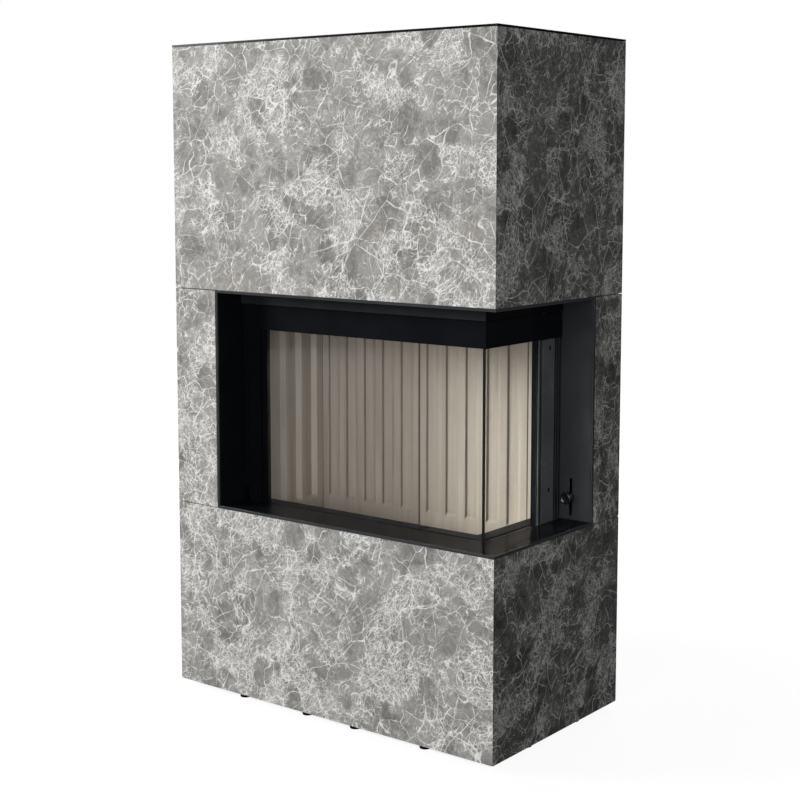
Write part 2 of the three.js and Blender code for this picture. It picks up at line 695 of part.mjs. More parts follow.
// ---- Combustion air -------------------------------------------------------------------------------------
// A box behind the right jamb: air enters by the port in its front and leaves by a neck into the firebox.
function buildAir(insert, lever) {
  const portZ = leverZ - portBelowLever;
  const portX = [ductRight - portFromEnd - portWidth, ductRight - portFromEnd];
  const neckX = [ductLeft + ductWall, ductLeft + ductWall + neckWidth];
  const neckZ = [ductTop - neckBelowTop - neckHeight, ductTop - neckBelowTop];
  const duct = cut(
    join(
      box(ductLeft, ductRight, ductFront, ductBack, ductBottom, ductTop),
      box(neckX[0] - ductWall, neckX[1] + ductWall, shellBack + touch, ductFront + 1,
        neckZ[0] - ductWall, neckZ[1] + ductWall),
    ),
    box(ductLeft + ductWall, ductRight - ductWall, ductFront + ductWall, ductBack - ductWall,
      ductBottom + ductWall, ductTop - ductWall),
    box(...neckX, shellBack - 1, ductFront + ductWall + 1, ...neckZ),
    box(...portX, ductFront - 1, ductFront + ductWall + 1, portZ - portHeight / 2, portZ + portHeight / 2),
  );
  add(insert, 'air_duct', duct, 'zincSteel');

  const plateBack = ductFront - running;
  const plateFront = plateBack - sheet;
  const plateEdge = leverX + leverPlate / 2;
  const damperTop = portZ + portHeight / 2 + damperLap + leverTravel;
  const damperBottom = portZ - portHeight / 2 - damperLap + leverTravel;
  const rodFront = recessRear - knobStandOff;
  const arm = join(
    box(portX[0] - damperLap, plateEdge, plateFront, plateBack, damperBottom, damperTop),
    box(plateEdge - leverPlate, plateEdge, plateFront, plateBack, damperTop - 1, leverZ + leverPlate),
    rod('y', leverRadius, plateBack - rodFront, leverX, (plateBack + rodFront) / 2, leverZ),
  );
  add(lever, 'air_lever', arm, 'blackSteel');

  // The knob's front edge is rounded over, its back steps down to a collar.
  const round = 3;
  const arc = Array.from({ length: 4 }, (_, i) => {
    const angle = (i / 3) * (Math.PI / 2);
    return [knobRadius - round + round * Math.sin(angle), knobLength - round + round * Math.cos(angle)];
  });
  const profile = [[0, 0], [knobRadius * 0.6, 0], [knobRadius * 0.6, 4], [knobRadius, 6], ...arc.reverse(),
    [knobRadius - round - 2, knobLength], [knobRadius - round - 3, knobLength - 1], [0, knobLength - 1]];
  const knob = new THREE.LatheGeometry(profile.map(([r, h]) => new THREE.Vector2(r, h)), 36);
  knob.rotateX(Math.PI);
  knob.translate(leverX, recessRear - knobStandOff - touch, leverZ);
  add(lever, 'air_knob', knob, 'blackSteel');
}

// ---- Door -----------------------------------------------------------------------------------------------
// Door profiles are drawn in u (along the door, outwards from its edge) and v (inwards from its outer plane).
const leftEnd = ([u, v]) => [doorLeft - u, doorFront + v];
const rearEnd = ([u, v]) => [doorSide - v, doorRear + u];

// Hollow stile with a shadow groove, a pocket for the glass at its inner edge, and two guide shoes outside.
function stile(place, wide, shoeReach) {
  const inner = -wide;
  const bead = 8;
  const groove = [inner + bead, inner + bead + 14];
  const pocket = [glassInset - glassPlay, glassInset + glass + glassPlay];
  const wall = 2.5;
  const outline = [
    [0, 0], [groove[1], 0], [groove[1], 8], [groove[0], 8], [groove[0], 0], [inner, 0],
    [inner, pocket[0]], [inner + pocketDepth, pocket[0]], [inner + pocketDepth, pocket[1]], [inner, pocket[1]],
    [inner, doorDepth], [0, doorDepth],
  ].map(place);
  const hollow = [[-wall, wall], [groove[1] + wall, wall], [groove[1] + wall, doorDepth - wall], [-wall, doorDepth - wall]];
  const body = upright(outline, doorBottom, doorTop);
  const hollowBody = cut(body, upright(hollow.map(place), doorBottom - 1, doorTop - wall));
  const [v0, v1] = [railInset + running, railInset + channelWidth - running];
  const shoe = [[-1, v0], [shoeReach, v0], [shoeReach, v1], [-1, v1]].map(place);
  return join(hollowBody, ...shoeHeights.map((z) => upright(shoe, z, z + shoeHeight)));
}

// The L-shaped bar below or above the glass, with the groove that holds the panes.
function crossProfile(z0, grooveZ0, grooveZ1) {
  const bar = (inset, strip, low, high) => ell(stileLeftInner + touch, doorSide - inset, doorFront + inset,
    stileRearInner - touch, strip, low, high);
  const groove = ell(stileLeftInner - 5, doorSide - glassInset + glassPlay, doorFront + glassInset - glassPlay,
    stileRearInner + 5, glass + 2 * glassPlay, grooveZ0, grooveZ1);
  return cut(bar(0, profileDepth, z0, z0 + profileHeight), groove);
}

function lockPlaces() {
  return lockHeights.map((z) => ({ y: doorRear - lockFromEdge, z }));
}

function buildDoor(door) {
  const glassFront = doorFront + glassInset;
  const glassSide = doorSide - glassInset;
  const glassLeft = stileLeftInner - pocketDepth + touch;
  const glassRear = stileRearInner + pocketDepth - touch;
  const bottomTop = ledgeTop - profileBelowLedge;
  const topBottom = doorTop - profileHeight;
  const glassZ = [bottomTop - profileHeight + 5, doorTop - 5];
  const panes = [glassZ[0] + touch, glassZ[1] - touch];

  add(door, 'door_glass_front', upright([
    [glassLeft, glassFront], [glassSide - cornerGap, glassFront],
    [glassSide - cornerGap - glass, glassFront + glass], [glassLeft, glassFront + glass],
  ], ...panes), 'glass');
  add(door, 'door_glass_side', upright([
    [glassSide, glassFront + cornerGap], [glassSide, glassRear],
    [glassSide - glass, glassRear], [glassSide - glass, glassFront + glass + cornerGap],
  ], ...panes), 'glass');
  const seal = cornerGap - touch;
  add(door, 'door_corner_seal', upright([
    [glassSide - seal, glassFront], [glassSide, glassFront], [glassSide, glassFront + seal],
    [glassSide - glass, glassFront + glass + seal], [glassSide - glass, glassFront + glass],
    [glassSide - glass - seal, glassFront + glass],
  ], ...panes), 'seal');

  add(door, 'door_bottom_profile', crossProfile(bottomTop - profileHeight, glassZ[0], bottomTop + 1), 'blackSteel');
  add(door, 'door_top_profile', crossProfile(topBottom, topBottom - 1, glassZ[1]), 'blackSteel');

  const lug = (x, y) => box(x - 10, x + 10, y - 6, y + 6, doorTop - 1, lugZ);
  const lockHoles = lockPlaces().map(({ y, z }) => rod('x', lockHoleRadius, doorDepth - 4, doorSide, y, z));
  add(door, 'door_stile_left', join(
    stile(leftEnd, stileLeftWidth, railEnds.left[1] - railSheet - 2 * running),
    lug(lugLeft, doorFront + lugDepth),
  ), 'blackSteel');
  add(door, 'door_stile_rear', cut(
    join(
      stile(rearEnd, stileRearWidth, railEnds.rear[1] - railSheet - 2 * running),
      lug(doorSide - lugDepth, lugRear),
    ),
    ...lockHoles,
  ), 'greySteel');
  lockPlaces().forEach(({ y, z }, i) => {
    const screw = cut(
      rod('x', lockHoleRadius - touch, 8, doorSide - 7, y, z),
      rod('x', 2.5, 8, doorSide - 2, y, z, 6),
    );
    add(door, `door_lock_${['lower', 'upper'][i]}`, screw, 'blackSteel');
  });
}

// Guide rail: a channel for the shoes, with two fins that reach out to the door's outer plane.
function guideRail(place, start, end, finAt, bottom) {
  const t = railSheet;
  const v0 = railInset - t;
  const v1 = railInset + channelWidth + t;
  const outline = [
    [start, v0], [finAt, v0], [finAt, 0], [finAt + t, 0], [finAt + t, v0], [end - t, v0], [end - t, 0], [end, 0],
    [end, v1], [start, v1], [start, v1 - t], [end - t, v1 - t], [end - t, v0 + t], [start, v0 + t],
  ].map(place);
  return upright(outline, bottom, railTop);
}

// ---- Lift gear ------------------------------------------------------------------------------------------
// Each side is drawn with its chain's door run at x = 0 and its weight run at x = twice the pulley's radius.
function pulley() {
  const half = pulleyWidth / 2;
  const outer = pulleyRadius + flangeHeight;
  const groove = pulleyRadius - chainRadius - running;
  const bore = axleRadius + 0.6;
  const profile = [[bore, -half], [outer, -half], [outer, -half + 1.5], [groove, -chainRadius - 0.8],
    [groove, chainRadius + 0.8], [outer, half - 1.5], [outer, half], [bore, half], [bore, -half]];
  const wheel = new THREE.LatheGeometry(profile.map(([r, y]) => new THREE.Vector2(r, y)), 32);
  const holes = Array.from({ length: 6 }, (_, i) => {
    const angle = (i / 6) * Math.PI * 2;
    return rod('y', 10, pulleyWidth * 2, 32 * Math.cos(angle), 0, 32 * Math.sin(angle), 12);
  });
  const spoked = cut(wheel, ...holes);
  spoked.translate(pulleyRadius, 0, pulleyZ);
  return spoked;
}

// Bracket with the pulley's axle and the rod that guides the counterweight, which ends in a stop collar.
function pulleyBracket() {
  const inner = pulleyWidth / 2 + 2;
  const outer = inner + 4;
  const plateTop = beamZ - touch;
  const rodX = 2 * pulleyRadius + rodFromWeightMiddle;
  const cheek = (y0, y1) => box(pulleyRadius - 20, pulleyRadius + 20, y0, y1, pulleyZ - 15, plateTop - 1);
  return join(
    cheek(-outer, -inner),
    cheek(inner, outer),
    box(pulleyRadius - 20, rodX + 12, -outer, outer, plateTop - 4, plateTop),
    rod('y', axleRadius, 2 * outer + 4, pulleyRadius, 0, pulleyZ),
    rod('z', rodRadius, plateTop - 2 - rodBottom, rodX, 0, (plateTop - 2 + rodBottom) / 2, 16),
    rod('z', rodRadius + 7, 14, rodX, 0, rodBottom + 7, 16),
  );
}

function counterweight() {
  const middle = 2 * pulleyRadius;
  const [x, y] = [weightWide / 2, weightDeep / 2];
  const outline = [[middle - x, -y], [middle + x, -y], [middle + x, y], [middle - x, y]];
  const block = join(
    upright(outline, weightTop - weightHeight, weightTop),
    box(middle - 6, middle + 6, -6, 6, weightTop - 1, weightTop + lugHeight),
  );
  const rodHole = rod('z', rodRadius + running, 3 * weightHeight, middle + rodFromWeightMiddle, 0, weightTop, 16);
  return cut(block, rodHole);
}

function chainRun(x, z0, z1) {
  return rod('z', chainRadius, z1 - z0, x, 0, (z0 + z1) / 2, 8);
}

function buildLiftSide(lift, side, x, y, turn) {
  const gear = new THREE.Group();
  gear.position.set(x, y, 0);
  gear.rotation.z = turn;
  lift.add(gear);
  add(gear, `pulley_${side}`, pulley(), 'castSteel');
  add(gear, `pulley_bracket_${side}`, pulleyBracket(), 'zincSteel');
  add(gear, `counterweight_${side}`, counterweight(), 'castSteel');
  const runTop = pulleyZ - touch;
  add(gear, `chain_weight_run_${side}`, chainRun(2 * pulleyRadius, weightTop + lugHeight + touch, runTop), 'zincSteel');
  add(gear, `chain_door_run_${side}`, chainRun(0, lugZ + touch, runTop), 'zincSteel');
}

// ---- Assembly -------------------------------------------------------------------------------------------
function group(parent, name) {
  const child = new THREE.Group();
  child.name = name;
  parent.add(child);
  return child;
}

const fireplace = new THREE.Group();
const casing = group(fireplace, 'casing');
const insert = group(fireplace, 'insert');
const door = group(fireplace, 'door');
const lever = group(fireplace, 'lever');
const lift = group(fireplace, 'lift');

buildStone(casing);
buildRear(casing);
buildFrame(casing);
buildRecess(casing);
buildLintel(insert);
buildFirebox(insert);
buildAir(insert, lever);
buildDoor(door);
add(insert, 'guide_rail_left', guideRail(leftEnd, ...railEnds.left, railFins.left, railBottomLeft), 'blackSteel');
add(insert, 'guide_rail_rear', guideRail(rearEnd, ...railEnds.rear, railFins.rear, ledgeTop - sheet), 'greySteel');
buildLiftSide(lift, 'left', lugLeft, doorFront + lugDepth, Math.PI);
buildLiftSide(lift, 'rear', doorSide - lugDepth, lugRear, Math.PI / 2);

export default fireplace;
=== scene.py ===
"""Corner fireplace: the stone-clad casing, lined firebox, lifting corner door and lift gear, with its stage.

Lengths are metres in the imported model's frame: +Z up, the wide stone front faces -Y, the glazed side faces +X.
"""
import json
import math

import bmesh
import bpy
import numpy as np
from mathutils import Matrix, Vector


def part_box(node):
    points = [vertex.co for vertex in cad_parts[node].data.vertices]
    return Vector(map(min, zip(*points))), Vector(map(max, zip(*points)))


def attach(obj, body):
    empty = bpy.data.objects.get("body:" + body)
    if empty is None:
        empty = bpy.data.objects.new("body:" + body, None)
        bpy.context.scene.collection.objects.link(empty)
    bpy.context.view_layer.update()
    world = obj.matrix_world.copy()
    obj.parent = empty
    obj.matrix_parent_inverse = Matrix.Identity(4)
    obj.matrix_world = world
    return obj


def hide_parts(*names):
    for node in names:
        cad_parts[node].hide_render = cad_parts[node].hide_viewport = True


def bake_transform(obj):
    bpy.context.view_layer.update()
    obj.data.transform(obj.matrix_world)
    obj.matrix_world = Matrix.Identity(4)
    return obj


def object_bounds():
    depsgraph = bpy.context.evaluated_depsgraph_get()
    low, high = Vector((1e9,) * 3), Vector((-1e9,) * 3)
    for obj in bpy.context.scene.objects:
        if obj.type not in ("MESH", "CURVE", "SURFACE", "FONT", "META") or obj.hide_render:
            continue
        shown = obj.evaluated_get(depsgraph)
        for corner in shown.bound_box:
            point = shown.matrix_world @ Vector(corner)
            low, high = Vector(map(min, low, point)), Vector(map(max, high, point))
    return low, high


bl_info = {
    "name": "Corner Fireplace",
    "version": (1, 0, 0),
    "blender": (4, 5, 0),
    "location": "View3D > Sidebar > Fireplace",
    "description": "Builds the looks of a stone-clad corner fireplace round its packed solids",
    "category": "Add Mesh",
}

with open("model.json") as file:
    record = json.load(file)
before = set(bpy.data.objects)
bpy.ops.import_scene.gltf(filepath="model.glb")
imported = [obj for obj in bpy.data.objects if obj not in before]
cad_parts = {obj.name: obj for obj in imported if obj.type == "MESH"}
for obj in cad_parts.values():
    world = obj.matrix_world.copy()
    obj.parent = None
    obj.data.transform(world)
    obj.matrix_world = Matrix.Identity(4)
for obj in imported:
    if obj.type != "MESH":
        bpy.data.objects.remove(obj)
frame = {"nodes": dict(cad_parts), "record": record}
CAD_BOX = [list(corner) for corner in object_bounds()]


# ---- User settings --------------------------------------------------------------------------------------
class StoneSettings(bpy.types.PropertyGroup):
    mid: bpy.props.FloatVectorProperty(
        name="Ground", description="Main grey of the stone", subtype="COLOR", size=3, default=(0.318, 0.312, 0.296))
    dark: bpy.props.FloatVectorProperty(
        name="Dark patches", description="Darkest grains between the veins", subtype="COLOR", size=3,
        default=(0.16, 0.156, 0.147))
    vein: bpy.props.FloatVectorProperty(
        name="Veins", description="Colour of the calcite veins", subtype="COLOR", size=3, default=(0.8, 0.79, 0.765))
    # Painted shade: the side slabs are the same stone as the front, with this ground painted darker for their weakly
    # lit side.
    side: bpy.props.FloatVectorProperty(
        name="Side ground", description="Main grey of the darker stone on the sides", subtype="COLOR", size=3,
        default=(0.12, 0.12, 0.115))
    warm: bpy.props.FloatVectorProperty(
        name="Warm patches", description="Brownish tint that comes and goes", subtype="COLOR", size=3,
        default=(0.31, 0.285, 0.26))
    arris: bpy.props.FloatProperty(
        name="Arris", description="Radius of the slabs' edges", subtype="DISTANCE", unit="LENGTH", default=0.0008)


class SteelSettings(bpy.types.PropertyGroup):
    black: bpy.props.FloatVectorProperty(
        name="Black paint", description="Stove paint of the recess and door", subtype="COLOR", size=3,
        default=(0.006, 0.0068, 0.0085))
    grey: bpy.props.FloatVectorProperty(
        name="Grey paint", description="Lighter stove paint of the rear jamb and fascia", subtype="COLOR", size=3,
        default=(0.04, 0.043, 0.047))
    # Painted light: a paler copy of the grey paint, on the rear stile that faces the side and gets little light, so it
    # shows as bright as the lit jamb.
    stile: bpy.props.FloatVectorProperty(
        name="Stile paint", description="Palest stove paint, on the rear stile and rail", subtype="COLOR", size=3,
        default=(0.1, 0.107, 0.115))
    bend: bpy.props.FloatProperty(
        name="Bend radius", description="Rounding of folded and cut edges", subtype="DISTANCE", unit="LENGTH",
        default=0.0005)


class LiningSettings(bpy.types.PropertyGroup):
    clay: bpy.props.FloatVectorProperty(
        name="Fireclay", description="Colour of the unfired lining", subtype="COLOR", size=3,
        default=(0.45, 0.41, 0.35))
    back_depth: bpy.props.FloatProperty(
        name="Back channel depth", description="Depth of the channels in the back panels", subtype="DISTANCE",
        unit="LENGTH", default=0.006)
    left_depth: bpy.props.FloatProperty(
        name="Left channel depth", description="Depth of the channels in the left panel", subtype="DISTANCE",
        unit="LENGTH", default=0.012)
    channel: bpy.props.FloatProperty(
        name="Channel width", description="Width of one channel at the panel's face", subtype="DISTANCE",
        unit="LENGTH", default=0.046)
    left_channel: bpy.props.FloatProperty(
        name="Left channel width", description="Width of one channel in the left panel", subtype="DISTANCE",
        unit="LENGTH", default=0.05)
    pitch: bpy.props.FloatProperty(
        name="Channel pitch", description="From one channel to the next", subtype="DISTANCE", unit="LENGTH",
        default=0.07)
    joint: bpy.props.FloatProperty(
        name="Joint", description="Open joint between two panels", subtype="DISTANCE", unit="LENGTH", default=0.0026)
    foot: bpy.props.FloatProperty(
        name="Channel foot", description="Height of the channels' lower end above the floor", subtype="DISTANCE",
        unit="LENGTH", default=0.532)


class StageSettings(bpy.types.PropertyGroup):
    key_power: bpy.props.FloatProperty(
        name="Key light", description="Power of the soft light at front left", subtype="POWER", default=900.0)
    front_power: bpy.props.FloatProperty(
        name="Front light", description="Power of the soft light that reaches into the firebox", subtype="POWER",
        default=75.0)
    side_power: bpy.props.FloatProperty(
        name="Side light", description="Power of the weak light on the glazed side", subtype="POWER", default=31.0)
    back_power: bpy.props.FloatProperty(
        name="Back light", description="Power of the soft light behind", subtype="POWER", default=70.0)
    ambient: bpy.props.FloatProperty(
        name="Ambient", description="Strength of the sky that lights the object", default=0.07)
    focal: bpy.props.FloatProperty(
        name="Focal length", description="Focal length on a 36 mm wide sensor", unit="CAMERA", default=69.52)


# ---- Mesh tools -----------------------------------------------------------------------------------------
def mesh_piece(name, points, faces, body, smooth=False):
    """A new object from an array of points and a list of faces, riding on a body."""
    mesh = bpy.data.meshes.new(name)
    mesh.from_pydata(np.asarray(points, float).reshape(-1, 3).tolist(), [], [list(map(int, f)) for f in faces])
    mesh.update()
    if smooth:
        mesh.polygons.foreach_set("use_smooth", np.ones(len(mesh.polygons), bool))
    piece = bpy.data.objects.new(name, mesh)
    bpy.context.collection.objects.link(piece)
    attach(piece, body)
    return piece


def ring_faces(rings, around):
    """Quads between neighbouring closed rings of a grid that is rings long and around points round."""
    i, j = np.meshgrid(np.arange(rings - 1), np.arange(around), indexing="ij")
    a = i * around + j
    b = i * around + (j + 1) % around
    return np.stack([a, b, b + around, a + around], -1).reshape(-1, 4)


def loft(rings):
    """Points and faces of a closed body through a stack of closed rings, with a flat cap at each end."""
    rings = np.asarray(rings, float)
    count, around = rings.shape[:2]
    faces = ring_faces(count, around).tolist()
    faces.append(list(range(around - 1, -1, -1)))
    faces.append(list(range((count - 1) * around, count * around)))
    return rings.reshape(-1, 3), faces


def facing_out(piece):
    """Turns the piece's faces outwards."""
    work = bmesh.new()
    work.from_mesh(piece.data)
    bmesh.ops.remove_doubles(work, verts=work.verts, dist=1e-6)
    bmesh.ops.recalc_face_normals(work, faces=work.faces)
    work.to_mesh(piece.data)
    work.free()
    return piece


def rounded(piece, radius, segments=2):
    """Rounds every edge sharper than 30 degrees."""
    bevel = piece.modifiers.new("Rounded edges", "BEVEL")
    bevel.width = radius
    bevel.segments = segments
    bevel.limit_method = "ANGLE"
    bevel.angle_limit = math.radians(30)
    bevel.face_strength_mode = "FSTR_AFFECTED"
    flat = piece.modifiers.new("Flat faces stay flat", "WEIGHTED_NORMAL")
    flat.mode, flat.weight, flat.use_face_influence = "FACE_AREA", 100, True
    piece.data.polygons.foreach_set("use_smooth", np.ones(len(piece.data.polygons), bool))
    return piece


def edged_copy(node, radius, segments=2):
    """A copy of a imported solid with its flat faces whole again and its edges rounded, which replaces it."""
    source = frame["nodes"][node]
    mesh = source.data.copy()
    work = bmesh.new()
    work.from_mesh(mesh)
    bmesh.ops.remove_doubles(work, verts=work.verts, dist=1e-5)
    bmesh.ops.dissolve_limit(work, angle_limit=math.radians(0.5), verts=work.verts, edges=work.edges)
    work.to_mesh(mesh)
    work.free()
    piece = bpy.data.objects.new(node + "_finished", mesh)
    bpy.context.collection.objects.link(piece)
    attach(piece, BODY_OF[node])
    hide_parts(node)
    return rounded(piece, radius, segments)


def set_back(piece, axis, by):
    """Takes the copy's outermost face on one axis back by a small amount, as thinner sheet would lie."""
    mesh = piece.data
    places = np.empty(len(mesh.vertices) * 3)
    mesh.vertices.foreach_get("co", places)
    places = places.reshape(-1, 3)
    places[places[:, axis] > places[:, axis].max() - 1e-5, axis] -= by
    mesh.vertices.foreach_set("co", places.ravel())
    mesh.update()
    return piece


def turned(profile, centre, axis, sides=48):
    """A body of revolution: each (radius, height) of a closed profile goes round the axis 'x', 'y' or 'z'."""
    profile = np.asarray(profile, float)
    angle = np.linspace(0, 2 * np.pi, sides, endpoint=False)
    r, h = profile[:, :1], profile[:, 1:]
    a, b = r * np.cos(angle), r * np.sin(angle)
    h = np.broadcast_to(h, a.shape)
    order = {"z": (a, b, h), "y": (b, h, a), "x": (h, a, b)}[axis]
    return np.stack(order, -1) + np.asarray(centre, float)


def turned_piece(name, profile, centre, axis, body, sides=48):
    """A smooth piece of revolution whose profile starts and ends on the axis."""
    points, faces = loft(turned(profile, centre, axis, sides))
    return facing_out(mesh_piece(name, points, faces, body, smooth=True))


def repeated(points, faces, places):
    """The same small shape set down at many places, as one mesh."""
    points = np.asarray(points, float).reshape(-1, 3)
    places = np.asarray(places, float).reshape(-1, 3)
    spread = (points[None] + places[:, None]).reshape(-1, 3)
    every = [[i + k * len(points) for i in f] for k in range(len(places)) for f in faces]
    return spread, every


def block(lo, hi):
    """Points and faces of an upright box."""
    (x0, y0, z0), (x1, y1, z1) = lo, hi
    ring = np.array([[x0, y0], [x1, y0], [x1, y1], [x0, y1]])
    return loft([np.c_[ring, np.full(4, z)] for z in (z0, z1)])


# ---- Shader tools ---------------------------------------------------------------------------------------
def put(tree, kind, inputs=None, **settings):
    """A shader node with its settings; an input is a value or another node's output."""
    node = tree.nodes.new(kind)
    for key, value in settings.items():
        setattr(node, key, value)
    for key, value in (inputs or {}).items():
        socket = node.inputs[key]
        if isinstance(value, bpy.types.NodeSocket):
            tree.links.new(value, socket)
        else:
            socket.default_value = value
    return node


def maths(tree, operation, a, b=0.0, clamp=False):
    return put(tree, "ShaderNodeMath", {0: a, 1: b}, operation=operation, use_clamp=clamp).outputs[0]


def ramp(tree, value, low, high, to_low=0.0, to_high=1.0):
    """Smooth change from one level to another while the value goes from low to high."""
    inputs = {"Value": value, "From Min": low, "From Max": high, "To Min": to_low, "To Max": to_high}
    return put(tree, "ShaderNodeMapRange", inputs, interpolation_type="SMOOTHSTEP").outputs["Result"]


def blend_colour(tree, share, a, b, mode="MIX"):
    node = put(tree, "ShaderNodeMix", data_type="RGBA", blend_type=mode)
    for index, value in ((0, share), (6, a), (7, b)):
        if isinstance(value, bpy.types.NodeSocket):
            tree.links.new(value, node.inputs[index])
        elif index == 0:
            node.inputs[index].default_value = value
        else:
            node.inputs[index].default_value = (*value[:3], 1)
    return node.outputs[2]


def noise(tree, place, scale, detail=3.0, rough=0.5, output="Fac"):
    inputs = {"Vector": place, "Scale": scale, "Detail": detail, "Roughness": rough}
    return put(tree, "ShaderNodeTexNoise", inputs).outputs[output]


def new_group(name, inputs, outputs):
    """An empty shader group with named sockets: (name, kind, default)."""
    tree = bpy.data.node_groups.new(name, "ShaderNodeTree")
    for title, kind, default in inputs:
        socket = tree.interface.new_socket(title, in_out="INPUT", socket_type="NodeSocket" + kind)
        if default is not None:
            socket.default_value = default
    for title, kind in outputs:
        tree.interface.new_socket(title, in_out="OUTPUT", socket_type="NodeSocket" + kind)
    return tree, put(tree, "NodeGroupInput").outputs, put(tree, "NodeGroupOutput")


def vector(tree, operation, a, b=(0.0, 0.0, 0.0), output=0):
    return put(tree, "ShaderNodeVectorMath", {0: a, 1: b}, operation=operation).outputs[output]


def scaled(tree, source, factor):
    return put(tree, "ShaderNodeVectorMath", {0: source, "Scale": factor}, operation="SCALE").outputs[0]


def warped(tree, place, scale, reach, detail):
    """The place pushed about by a coloured noise of the given scale, by up to half its reach each way."""
    push = vector(tree, "SUBTRACT", noise(tree, place, scale, detail, 0.6, "Color"), (0.5, 0.5, 0.5))
    return vector(tree, "ADD", place, scaled(tree, push, reach))


def vein_group():
    """Crackle veins: thin pale borders of cells, of uneven width, that come and go along their length."""
    tree, given, out = new_group(
        "Crackle veins",
        [("Place", "Vector", None), ("Cells", "Float", 20.0), ("Width", "Float", 0.03), ("Shown", "Float", 0.5)],
        [("Veins", "Float"), ("Tone", "Float")])
    place, cells = given["Place"], given["Cells"]
    edge = put(tree, "ShaderNodeTexVoronoi", {"Vector": place, "Scale": cells},
               feature="DISTANCE_TO_EDGE").outputs["Distance"]
    cell = put(tree, "ShaderNodeTexVoronoi", {"Vector": place, "Scale": cells}, feature="F1").outputs["Color"]
    fade = noise(tree, place, maths(tree, "MULTIPLY", cells, 0.5), 2.0, 0.6)
    low = maths(tree, "SUBTRACT", 0.8, maths(tree, "MULTIPLY", given["Shown"], 0.62))
    shown = ramp(tree, fade, low, maths(tree, "ADD", low, 0.2))
    swell = noise(tree, place, maths(tree, "MULTIPLY", cells, 3.0), 2.0, 0.6)
    width = maths(tree, "MULTIPLY", given["Width"], ramp(tree, swell, 0.3, 0.78, 0.35, 2.3))
    line = put(tree, "ShaderNodeMapRange",
               {"Value": edge, "From Min": maths(tree, "MULTIPLY", width, 0.4), "From Max": width, "To Min": 1.0,
                "To Max": 0.0}).outputs["Result"]
    tree.links.new(maths(tree, "MULTIPLY", line, shown, clamp=True), out.inputs["Veins"])
    tree.links.new(put(tree, "ShaderNodeSeparateColor", {"Color": cell}).outputs["Red"], out.inputs["Tone"])
    return tree


